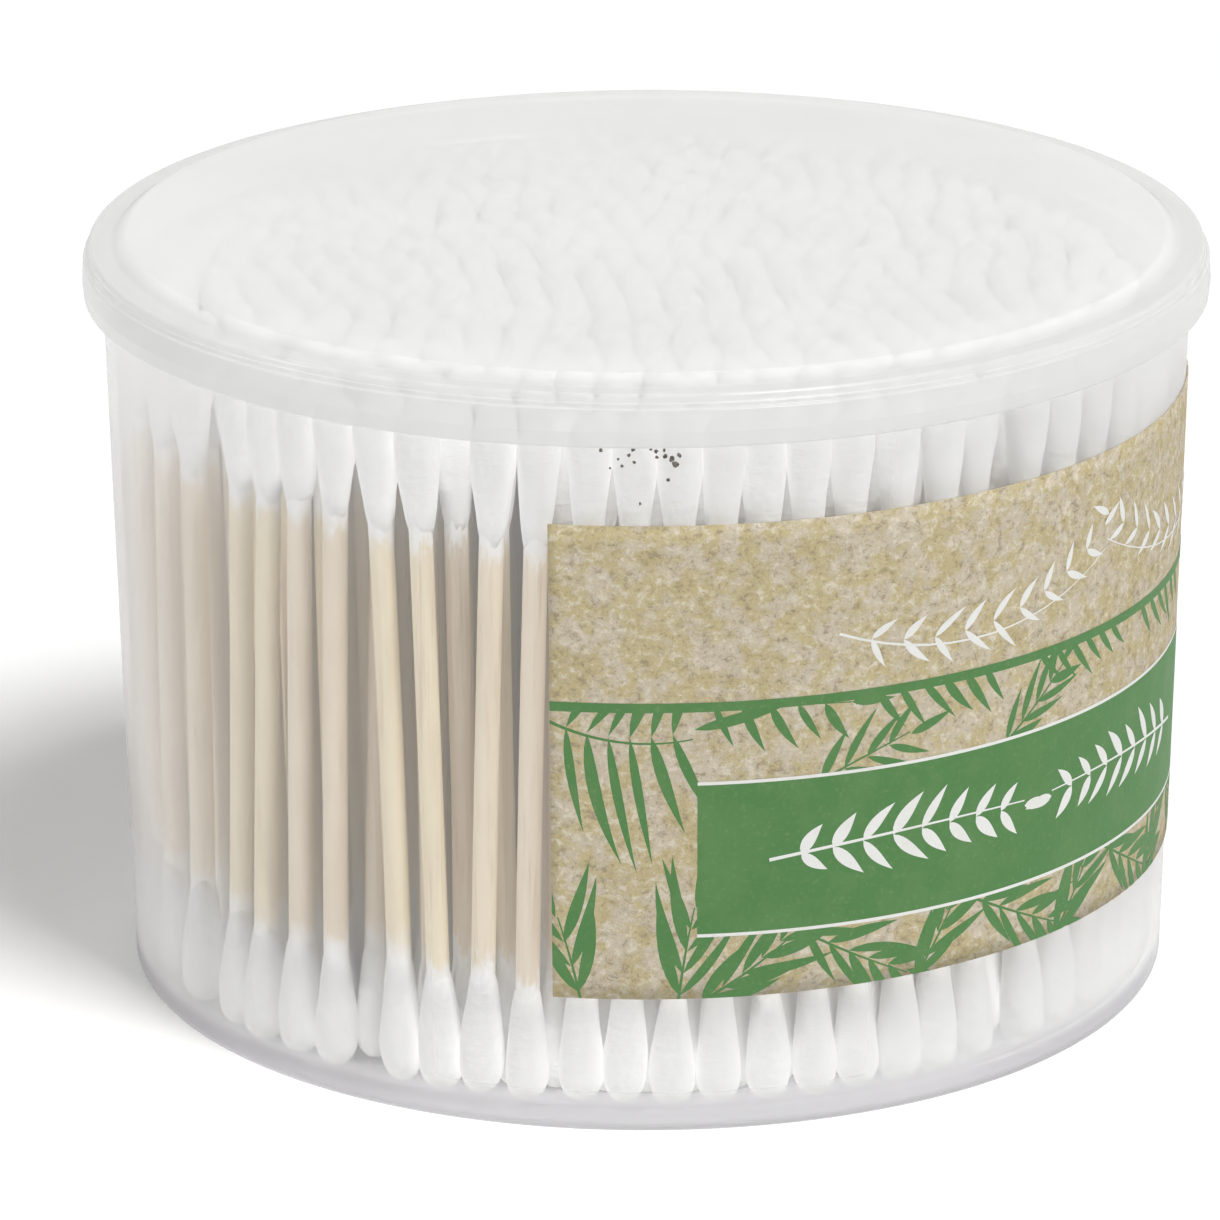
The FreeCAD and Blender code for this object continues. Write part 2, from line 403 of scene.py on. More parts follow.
@dataclass(frozen=True)
class Cotton:
    """Bleached cotton wool, wound on and pressed.

    Attributes:
        name: Name of the material.
        light: Its colour where it is loose.
        shade: Its colour between the strands.
        glow: Share of it that is lit from behind.
        deep: Its colour to light that has already soaked into the tub.
        nap: Height of its fluff, in metres.
        fluff_scale: Tufts to a metre.
        strand_scale: The same for the strands that are wound round, along each axis.
    """

    name: str
    light: Colour
    shade: Colour
    glow: float
    deep: Colour = (0.99, 0.99, 0.985)
    nap: float = 0.00016
    fluff_scale: float = 1300.0
    strand_scale: Scale = (300.0, 300.0, 1700.0)

    def build(self) -> bpy.types.Material:
        """Builds the material.

        Returns:
            The finished material.
        """
        material, desk, where = new_material(self.name)
        fluff = desk.noise(where, self.fluff_scale, 2, 0.7)
        strands = desk.noise(desk.stretched(where, self.strand_scale), 1, 1, 0.6)
        colour = desk.blend(desk.levels(fluff, 0.35, 0.65), self.shade, self.light)
        colour = desk.blend(desk.levels(desk.mark("tone"), 0.4, 1.0, 0.0, 0.8), colour, self.shade)
        normal = desk.bump(desk.maths("ADD", fluff, strands), self.nap, 0.6)
        wool = desk.surface(colour, 0.95, 0.12, normal, Sheen_Weight=0.5, Sheen_Roughness=0.5)
        through = desk.add("BsdfTranslucent", {"Color": colour}).outputs[0]
        bounce = desk.add("LightPath").outputs["Is Diffuse Ray"]
        even = desk.add("BsdfDiffuse", {"Color": (*self.deep, 1)}).outputs[0]
        desk.finish(desk.mixed(bounce, desk.mixed(self.glow, wool, through), even))
        return material


@dataclass(frozen=True)
class Bamboo:
    """Split bamboo stick, with straight grain and cotton fluff near its ends.

    Attributes:
        name: Name of the material.
        yellow: Colour of the yellower sticks.
        pink: Colour of the pinker sticks.
        grain: Colour of the darker grain.
        dry: Colour of the driest sticks.
        fluff: Colour of the cotton that clings near the roots.
        ridges: Height of its grain, in metres.
        grain_scale: Streaks of grain to a metre, along each axis.
        patch_scale: The same for its darker patches.
        wisp_scale: The same for the wisps of cotton on it.
    """

    name: str = "bamboo"
    yellow: Colour = (0.90, 0.79, 0.56)
    pink: Colour = (0.87, 0.74, 0.585)
    grain: Colour = (0.66, 0.52, 0.37)
    dry: Colour = (0.90, 0.83, 0.68)
    fluff: Colour = (0.95, 0.945, 0.93)
    ridges: float = 0.00016
    grain_scale: Scale = (1900.0, 1900.0, 50.0)
    patch_scale: Scale = (300.0, 300.0, 60.0)
    wisp_scale: Scale = (1500.0, 1500.0, 500.0)

    def build(self) -> bpy.types.Material:
        """Builds the material.

        Returns:
            The finished material.
        """
        material, desk, where = new_material(self.name)
        tone, cling = desk.mark("tone"), desk.mark("fluff")
        streaks = desk.noise(desk.stretched(where, self.grain_scale), 1, 2, 0.65)
        patches = desk.noise(desk.stretched(where, self.patch_scale), 1, 1)
        wood = desk.blend(desk.levels(tone, 0.2, 0.8), self.yellow, self.pink)
        wood = desk.blend(desk.maths("MULTIPLY", tone, 0.35), wood, self.dry)
        wood = desk.blend(desk.levels(streaks, 0.50, 0.80, 0.0, 0.75), wood, self.grain)
        wood = desk.blend(desk.levels(patches, 0.45, 0.75, 0.0, 0.35), wood, self.grain)
        wisps = desk.noise(desk.stretched(where, self.wisp_scale), 1, 2, 0.7)
        share = desk.maths("ADD", cling, desk.levels(wisps, 0.3, 0.7, -0.3, 0.3))
        share = desk.maths("MULTIPLY", desk.levels(share, 0.15, 0.9), desk.levels(cling, 0.0, 0.12))
        colour = desk.blend(share, wood, self.fluff)
        desk.finish(desk.surface(colour, 0.62, 0.3, desk.bump(streaks, self.ridges, 0.6)))
        return material


@dataclass(frozen=True)
class KraftPaper:
    """Recycled kraft paper, with pale and dark fibres pressed into it.

    Attributes:
        name: Name of the material.
        ground: Its main colour.
        olive: Colour of its yellower patches.
        pale: Colour of its pale shreds and fibres.
        dark: Colour of its darker pulp.
        hair: Colour of the few dark fibres.
        relief: Height of its shreds, in metres.
        cloud_scale: Patches to a metre.
        shred_scale: Shreds to a metre, along each axis.
        speck_scale: Specks to a metre.
        fibre_scale: Fibres to a metre, along each axis.
        crumple_scale: Kinks to a metre in the shreds.
        crumple: How far the kinks push the shreds, in metres.
    """

    name: str = "kraft_paper"
    ground: Colour = (0.605, 0.535, 0.410)
    olive: Colour = (0.555, 0.47, 0.265)
    pale: Colour = (0.76, 0.70, 0.585)
    dark: Colour = (0.335, 0.27, 0.18)
    hair: Colour = (0.17, 0.12, 0.08)
    relief: float = 0.00016
    cloud_scale: float = 400.0
    shred_scale: Scale = (900.0, 900.0, 1150.0)
    speck_scale: float = 2100.0
    fibre_scale: Scale = (260.0, 900.0, 1300.0)
    crumple_scale: float = 600.0
    crumple: float = 0.0014

    def fibres(self, desk: NodeDesk, where: bpy.types.NodeSocket, number: int,
               turn_deg: float) -> bpy.types.NodeSocket:
        """Lays out one family of long thin fibres.

        Args:
            desk: The material's desk.
            where: The object's own coordinates.
            number: Which family it is.
            turn_deg: Which way the fibres run.

        Returns:
            The socket of how much fibre shows.
        """
        bent = desk.add("TexNoise", {"Vector": where, "Scale": 110.0 + 40 * number, "Detail": 1.0})
        warped = desk.blend(0.12, where, bent.outputs["Color"])
        tilted = desk.stretched(warped, self.fibre_scale, turn_deg)
        run = desk.add("TexNoise", {"Vector": tilted, "Scale": 1.0, "Detail": 0.0}).outputs["Fac"]
        off_line = desk.maths("ABSOLUTE", desk.maths("SUBTRACT", run, 0.5))
        line = desk.levels(off_line, 0.0, 0.03, 1, 0)
        few = desk.levels(desk.noise(where, 230 + 60 * number, 1), 0.50, 0.60)
        return desk.maths("MULTIPLY", line, few)

    def pulp(self, desk: NodeDesk, where: bpy.types.NodeSocket) -> tuple[Any, Any]:
        """Lays out the pulp and fibres that the paper shows.

        Args:
            desk: The material's desk.
            where: The object's own coordinates.

        Returns:
            The colour's socket and the height's socket.
        """
        clouds = desk.noise(where, self.cloud_scale, 3, 0.6)
        warp = desk.add("TexNoise", {"Vector": where, "Scale": self.crumple_scale, "Detail": 2.0})
        crumpled = desk.blend(self.crumple, where, warp.outputs["Color"])
        shreds = desk.noise(desk.stretched(crumpled, self.shred_scale), 1, 4, 0.72)
        specks = desk.noise(where, self.speck_scale, 2, 0.7)
        colour = desk.blend(desk.levels(clouds, 0.40, 0.58), self.ground, self.olive)
        colour = desk.blend(desk.levels(shreds, 0.50, 0.68, 0, 0.85), colour, self.pale)
        colour = desk.blend(desk.levels(shreds, 0.47, 0.32, 0, 0.80), colour, self.dark)
        colour = desk.blend(desk.levels(specks, 0.55, 0.72, 0, 0.50), colour, self.dark)
        height = desk.maths("ADD", shreds, desk.maths("MULTIPLY", specks, 0.3))
        for number, (turn, tone) in enumerate(((24, self.pale), (-48, self.dark), (74, self.hair))):
            share = self.fibres(desk, where, number, turn)
            colour = desk.blend(desk.maths("MULTIPLY", share, 0.5), colour, tone)
        return colour, height

    def build(self) -> bpy.types.Material:
        """Builds the material.

        Returns:
            The finished material.
        """
        material, desk, where = new_material(self.name)
        colour, height = self.pulp(desk, where)
        desk.finish(desk.surface(colour, 0.78, 0.25, desk.bump(height, self.relief, 0.7)))
        return material


@dataclass(frozen=True)
class PrintInk:
    """Ink on the kraft label, with a little of the paper's pulp showing in it.

    Attributes:
        name: Name of the material.
        colour: Its main colour.
        thin: Its colour where it is thin.
        relief: Height of the pulp that stands through it, in metres.
        speck_scale: Specks to a metre.
        cloud_scale: Thin patches to a metre.
    """

    name: str
    colour: Colour
    thin: Colour
    relief: float = 0.00004
    speck_scale: float = 1900.0
    cloud_scale: float = 240.0

    def build(self) -> bpy.types.Material:
        """Builds the material.

        Returns:
            The finished material.
        """
        material, desk, where = new_material(self.name)
        specks = desk.noise(where, self.speck_scale, 5, 0.7)
        clouds = desk.noise(where, self.cloud_scale, 3)
        colour = desk.blend(desk.levels(specks, 0.52, 0.74, 0, 0.55), self.colour, self.thin)
        colour = desk.blend(desk.levels(clouds, 0.40, 0.75, 0, 0.22), colour, self.thin)
        desk.finish(desk.surface(colour, 0.62, 0.35, desk.bump(specks, self.relief, 0.45)))
        return material


@dataclass(frozen=True)
class Grime:
    """Dry dirt that stuck to the tub's wall.

    Attributes:
        name: Name of the material.
        colour: Its main colour.
        light: Its colour where it is dusty.
        relief: Height of its grains, in metres.
        dust_scale: Grains to a metre.
    """

    name: str = "grime"
    colour: Colour = (0.10, 0.085, 0.07)
    light: Colour = (0.30, 0.27, 0.22)
    relief: float = 0.0001
    dust_scale: float = 3500.0

    def build(self) -> bpy.types.Material:
        """Builds the material.

        Returns:
            The finished material.
        """
        material, desk, where = new_material(self.name)
        dust = desk.noise(where, self.dust_scale, 3)
        colour = desk.blend(desk.levels(dust, 0.4, 0.7), self.colour, self.light)
        desk.finish(desk.surface(colour, 0.9, 0.5, desk.bump(dust, self.relief, 0.6)))
        return material


class PieceDraft:
    """Gathers the points and faces of one piece, in millimetres, and makes its object."""

    def __init__(self) -> None:
        """Starts an empty draft."""
        self.points: list[np.ndarray] = []
        self.faces: list[tuple[int, ...]] = []
        self.prints: list[int] = []
        self.marks: dict[str, list[np.ndarray]] = {}
        self.count = 0

    def add(self, points: np.ndarray, faces: list[tuple[int, ...]], slot: int = 0,
            **marks: np.ndarray) -> None:
        """Adds a batch of points, and faces that number them from zero.

        Args:
            points: One row of x, y and z for each point.
            faces: The faces, each the numbers of its points.
            slot: Which of the piece's materials they wear.
            **marks: One value for each point, kept on the mesh under the mark's name.
        """
        start = self.count
        self.points.append(np.asarray(points, dtype=float).reshape(-1, 3))
        self.faces.extend([tuple(start + number for number in face) for face in faces])
        self.prints.extend([slot] * len(faces))
        for name, values in marks.items():
            self.marks.setdefault(name, []).append(np.asarray(values, dtype=float).reshape(-1))
        self.count += len(self.points[-1])

    def finish(self, name: str, materials: list[bpy.types.Material]) -> bpy.types.Object:
        """Makes the piece.

        Args:
            name: Name of the piece.
            materials: Its materials, in the order that its faces number them.

        Returns:
            The new object.
        """
        mesh = bpy.data.meshes.new(name)
        mesh.from_pydata((np.concatenate(self.points) * MM).tolist(), [], self.faces)
        for material in materials:
            mesh.materials.append(material)
        mesh.polygons.foreach_set("material_index", self.prints)
        mesh.polygons.foreach_set("use_smooth", [True] * len(mesh.polygons))
        for mark, values in self.marks.items():
            layer = mesh.attributes.new(mark, "FLOAT", "POINT")
            layer.data.foreach_set("value", np.concatenate(values))
        mesh.update()
        piece = bpy.data.objects.new(name, mesh)
        bpy.context.scene.collection.objects.link(piece)
        return piece


def ring_faces(copies: int, rings: int, sides: int) -> list[tuple[int, ...]]:
    """Faces of several closed bodies, each of rings of points with a pole at both ends.

    Args:
        copies: How many bodies there are.
        rings: How many rings each has.
        sides: How many points each ring has.

    Returns:
        The faces. Each body numbers its rings' points first, then its first and last pole.
    """
    one = []
    for side in range(sides):
        after = (side + 1) % sides
        one.append((rings * sides, after, side))
        for ring in range(rings - 1):
            low, high = ring * sides, (ring + 1) * sides
            one.append((low + side, low + after, high + after, high + side))
        last = (rings - 1) * sides
        one.append((last + side, last + after, rings * sides + 1))
    size = rings * sides + 2
    return [tuple(copy * size + number for number in face)
            for copy in range(copies) for face in one]


def rounded(corners: list[tuple[float, float, float]], steps: int = 5, hold: float = 0.12,
            hold_share: float = 0.05, reach_share: float = 0.45) -> list[FlatPoint]:
    """Rounds the corners of a closed outline.

    Args:
        corners: Radius, height and fillet of each corner.
        steps: How many runs make one fillet.
        hold: Length of the short run beside a fillet, which keeps the next face looking flat.
        hold_share: The most of a side that this run may take.
        reach_share: The most of a side that a fillet may take.

    Returns:
        The points of the rounded outline.
    """
    outline: list[FlatPoint] = []
    count = len(corners)
    for index, (radius, height, fillet) in enumerate(corners):
        here = Vector((radius, height))
        if fillet <= 0:
            outline.append((radius, height))
            continue
        before = Vector(corners[index - 1][:2]) - here
        after = Vector(corners[(index + 1) % count][:2]) - here
        turn = before.angle(after)
        shorter = min(before.length, after.length)
        reach = min(fillet / math.tan(turn / 2), reach_share * shorter)
        fillet = reach * math.tan(turn / 2)
        middle = here + (before.normalized() + after.normalized()).normalized() * (
            fillet / math.sin(turn / 2))
        start, end = here + before.normalized() * reach, here + after.normalized() * reach
        outline.append(tuple(start + before.normalized() * min(hold, hold_share * before.length)))
        for step in range(steps + 1):
            arm = (start - middle).lerp(end - middle, step / steps)
            outline.append(tuple(middle + arm.normalized() * fillet))
        outline.append(tuple(end + after.normalized() * min(hold, hold_share * after.length)))
    return outline


def turned(draft: PieceDraft, outline: list[FlatPoint], segments: int) -> None:
    """Adds a body turned about Z from an outline that starts and ends on the axis.

    Args:
        draft: The draft it goes into.
        outline: Radius and height of each point, from one pole to the other.
        segments: How many steps make the full turn.
    """
    angles = np.linspace(0, 2 * np.pi, segments, endpoint=False)
    rings = np.array(outline[1:-1])
    points = np.stack([
        rings[:, :1] * np.cos(angles), rings[:, :1] * np.sin(angles),
        np.repeat(rings[:, 1:], segments, axis=1),
    ], axis=-1).reshape(-1, 3)
    poles = np.array([(0, 0, outline[0][1]), (0, 0, outline[-1][1])])
    draft.add(np.concatenate([points, poles]), ring_faces(1, len(rings), segments))


@dataclass
class Tub:
    """Thin clear moulding with a drafted wall, a foot ring and a beaded rim.

    Attributes:
        finish: Its plastic.
        base_radius: Radius of the outer wall, carried down to the ground.
        draft_deg: How far the wall leans out.
        wall: Thickness of the wall.
        foot_height: Height of the foot ring.
        foot_width: Width of the foot ring.
        floor: Thickness of the floor.
        corner: Radius of the outer corner at the base.
        inner_corner: Radius of the inner corner at the floor.
        rim_height: Height of the rim.
        bead: How far the bead stands proud of the wall.
        bead_height: Height of the bead.
        segments: Steps in a full turn.
    """

    finish: MouldedPlastic
    base_radius: float = 55.05
    draft_deg: float = 1.46
    wall: float = 1.0
    foot_height: float = 0.9
    foot_width: float = 1.2
    floor: float = 1.2
    corner: float = 2.5
    inner_corner: float = 1.3
    rim_height: float = 78.5
    bead: float = 0.45
    bead_height: float = 1.2
    segments: int = 256

    def outer(self, height: float) -> float:
        """Radius of the wall's outer face at a height."""
        return self.base_radius + height * math.tan(math.radians(self.draft_deg))

    def inner(self, height: float) -> float:
        """Radius of the wall's inner face at a height."""
        return self.outer(height) - self.wall

    def on_wall(self, angle: float, height: float,
                proud: float = 0.0) -> tuple[float, float, float]:
        """Finds a point on the outer wall.

        Args:
            angle: Angle round the tub from the front, in radians.
            height: Height above the ground.
            proud: How far the point stands off the wall.

        Returns:
            The point.
        """
        radius = self.outer(height) + proud
        return radius * math.sin(angle), -radius * math.cos(angle), height

    def outline(self) -> list[FlatPoint]:
        """Lays out the tub's section.

        Returns:
            Radius and height of each point, from the underside's middle round to the floor's.
        """
        foot_inside = self.outer(self.corner) - self.corner - self.foot_width
        bead_out = self.outer(self.rim_height) + self.bead
        bead_bottom = self.rim_height - self.bead_height
        floor_top = self.foot_height + self.floor
        corners = [
            (0.0, self.foot_height, 0.0),
            (foot_inside, self.foot_height, 0.4),
            (foot_inside, 0.0, 0.35),
            (self.outer(0), 0.0, self.corner),
            (self.outer(bead_bottom - self.bead), bead_bottom - self.bead, 0.25),
            (bead_out, bead_bottom, 0.25),
            (bead_out, self.rim_height, 0.4),
            (self.inner(self.rim_height), self.rim_height, 0.35),
            (self.inner(floor_top), floor_top, self.inner_corner),
            (0.0, floor_top, 0.0),
        ]
        return rounded(corners, steps=8)

    def build(self) -> bpy.types.Object:
        """Builds and dresses the tub.

        Returns:
            The finished piece.
        """
        draft = PieceDraft()
        turned(draft, self.outline(), self.segments)
        piece = draft.finish("tub_shell", [self.finish.build()])
        piece.visible_shadow = False
        piece.visible_diffuse = False
        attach(piece, "tub")
        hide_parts("tub")
        return piece


@dataclass
class Lid:
    """Milky press-on cap with a raised panel and fine steps round its skirt.

    Attributes:
        finish: Its plastic.
        thickness: Thickness of the panel.
        panel_radius: Radius of the raised panel.
        panel_top: Height of the panel's top.
        shoulder: Height of the shoulder round the panel.
        seat: Height at which it seats on the rim.
        skirt_outer: Radius of the skirt's outer face.
        skirt_inner: Radius of the skirt's inner face.
        ridge: Radius inside the snap ridge.
        flare: How far the skirt flares.
        bottom: Height of the skirt's foot.
        segments: Steps in a full turn.
    """

    finish: MouldedPlastic
    thickness: float = 0.9
    panel_radius: float = 54.6
    panel_top: float = 80.45
    shoulder: float = 79.4
    seat: float = 78.5
    skirt_outer: float = 58.9
    skirt_inner: float = 58.1
    ridge: float = 57.8
    flare: float = 0.14
    bottom: float = 74.0
    segments: int = 256

    def outline(self) -> list[FlatPoint]:
        """Lays out the lid's section.

        Returns:
            Radius and height of each point, from under the panel's middle round to its top.
        """
        under = self.panel_top - self.thickness
        recess = self.panel_radius - self.thickness
        out = self.skirt_outer
        corners = [
            (0.0, under, 0.0),
            (recess, under, 0.4),
            (recess + 0.3, self.seat, 0.25),
            (self.skirt_inner, self.seat, 0.3),
            (self.skirt_inner, self.bottom + 0.8, 0.2),
            (self.ridge, self.bottom + 0.35, 0.2),
            (self.ridge + 0.1, self.bottom, 0.1),
            (out, self.bottom, 0.3),
            (out + self.flare, self.bottom + 1.7, 0.8),
            (out, self.bottom + 3.9, 0.16),
            (out - 0.34, self.bottom + 4.1, 0.12),
            (out - 0.36, self.bottom + 4.45, 0.10),
            (out - 0.52, self.bottom + 4.6, 0.10),
            (out - 0.56, self.shoulder, 0.40),
            (self.panel_radius + 1.3, self.shoulder, 0.9),
            (self.panel_radius - 0.2, self.panel_top, 0.9),
            (0.0, self.panel_top, 0.0),
        ]
        return rounded(corners, steps=5)

    def build(self) -> bpy.types.Object:
        """Builds and dresses the lid.

        Returns:
            The finished piece.
        """
        draft = PieceDraft()
        turned(draft, self.outline(), self.segments)
        piece = draft.finish("lid_cap", [self.finish.build()])
        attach(piece, "lid")
        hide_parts("lid")
        return piece


@dataclass(frozen=True)
class Sprig:
    """One printed stem with narrow leaves along both of its sides.

    Attributes:
        foot: Where the stem starts, as millimetres along the label's arc and height.
        heading_deg: Which way it starts, from the arc's direction upwards.
        length: Length of the stem.
        bend_deg: How far the stem turns on its way.
        leaves: How many leaves there are on each side.
        leaf_length: Length of the longest leaf.
        leaf_width: Width of a leaf.
        spread_deg: Angle between a leaf and the stem.
        stray_deg: How far a leaf may stray from that angle.
        curls_deg: The least and the most that a leaf curls.
        lengths: The shortest and the longest leaf, as shares of the length for its place.
        widths: The narrowest and the widest leaf, as shares of the width.
    """

    foot: FlatPoint
    heading_deg: float
    length: float
    bend_deg: float
    leaves: int
    leaf_length: float
    leaf_width: float
    spread_deg: float = 38.0
    stray_deg: float = 7.0
    curls_deg: Span = (4.0, 24.0)
    lengths: Span = (0.85, 1.1)
    widths: Span = (0.8, 1.15)

    def strip(self, foot: FlatPoint, heading: float, length: float, bend: float, width: float,
              steps: int, tapered: bool) -> list[list[FlatPoint]]:
        """Lays out a bent strip.

        Args:
            foot: Where it starts.
            heading: Which way it starts, in radians.
            length: Its length.
            bend: How far it turns, in radians.
            width: Its greatest width.
            steps: How many pieces it is laid in.
            tapered: Whether it has a leaf's outline, and not a stem's.

        Returns:
            Its pieces, each a flat polygon.
        """
        x, y = foot
        left, right = [], []
        for step in range(steps + 1):
            share = step / steps
            angle = heading + bend * share
            half = width / 2 * (math.sin(math.pi * share ** 0.72) if tapered else 1 - 0.6 * share)
            left.append((x - half * math.sin(angle), y + half * math.cos(angle)))
            right.append((x + half * math.sin(angle), y - half * math.cos(angle)))
            x += length / steps * math.cos(angle)
            y += length / steps * math.sin(angle)
        return [[right[i], right[i + 1], left[i + 1], left[i]] for i in range(steps)]

    def layout(self, chance: np.random.Generator) -> list[list[FlatPoint]]:
        """Lays out the stem and its leaves.

        Args:
            chance: Source of the small differences between leaves.

        Returns:
            Flat polygons, as points along the arc and up.
        """
        heading, bend = math.radians(self.heading_deg), math.radians(self.bend_deg)
        stem_width = 0.2 * self.leaf_width + 0.12
        shapes = self.strip(self.foot, heading, self.length, bend, stem_width, STEM_STEPS, False)
        x, y = self.foot
        places = self.leaves + 1
        for place in range(1, places):
            share = place / places
            angle = heading + bend * share
            x += self.length / places * math.cos(angle)
            y += self.length / places * math.sin(angle)
            size = self.leaf_length * (0.62 + 0.38 * math.sin(math.pi * share ** 0.8))
            for side in (1, -1):
                stray = chance.uniform(-self.stray_deg, self.stray_deg)
                turn = side * math.radians(self.spread_deg + stray)
                curl = -side * math.radians(chance.uniform(*self.curls_deg))
                long = size * chance.uniform(*self.lengths)
                wide = self.leaf_width * chance.uniform(*self.widths)
                shapes += self.strip((x, y), angle + turn, long, curl, wide, LEAF_STEPS, True)
        tip = (x + self.length / places * math.cos(heading + bend),
               y + self.length / places * math.sin(heading + bend))
        shapes += self.strip(tip, heading + bend, 0.8 * self.leaf_length, 0.1, self.leaf_width,
                             LEAF_STEPS, True)
        return shapes


@dataclass(frozen=True)
class Window:
    """Rectangle on the label that printed shapes are cut to, in millimetres."""

    left: float
    right: float
    bottom: float
    top: float

    def cut(self, shape: list[FlatPoint]) -> list[FlatPoint]:
        """Cuts a convex shape to the window.

        Args:
            shape: The shape's points.

        Returns:
            The points of what is left, or none.
        """
        for axis, bound, sign in ((0, self.left, 1), (0, self.right, -1), (1, self.bottom, 1),
                                  (1, self.top, -1)):
            kept = []
            for here, after in zip(shape, shape[1:] + shape[:1]):
                depth, next_depth = sign * (here[axis] - bound), sign * (after[axis] - bound)
                if depth >= 0:
                    kept.append(here)
                if depth * next_depth < 0:
                    share = depth / (depth - next_depth)
                    kept.append(tuple(a + share * (b - a) for a, b in zip(here, after)))
            shape = kept
            if len(shape) < 3:
                return []
        return shape


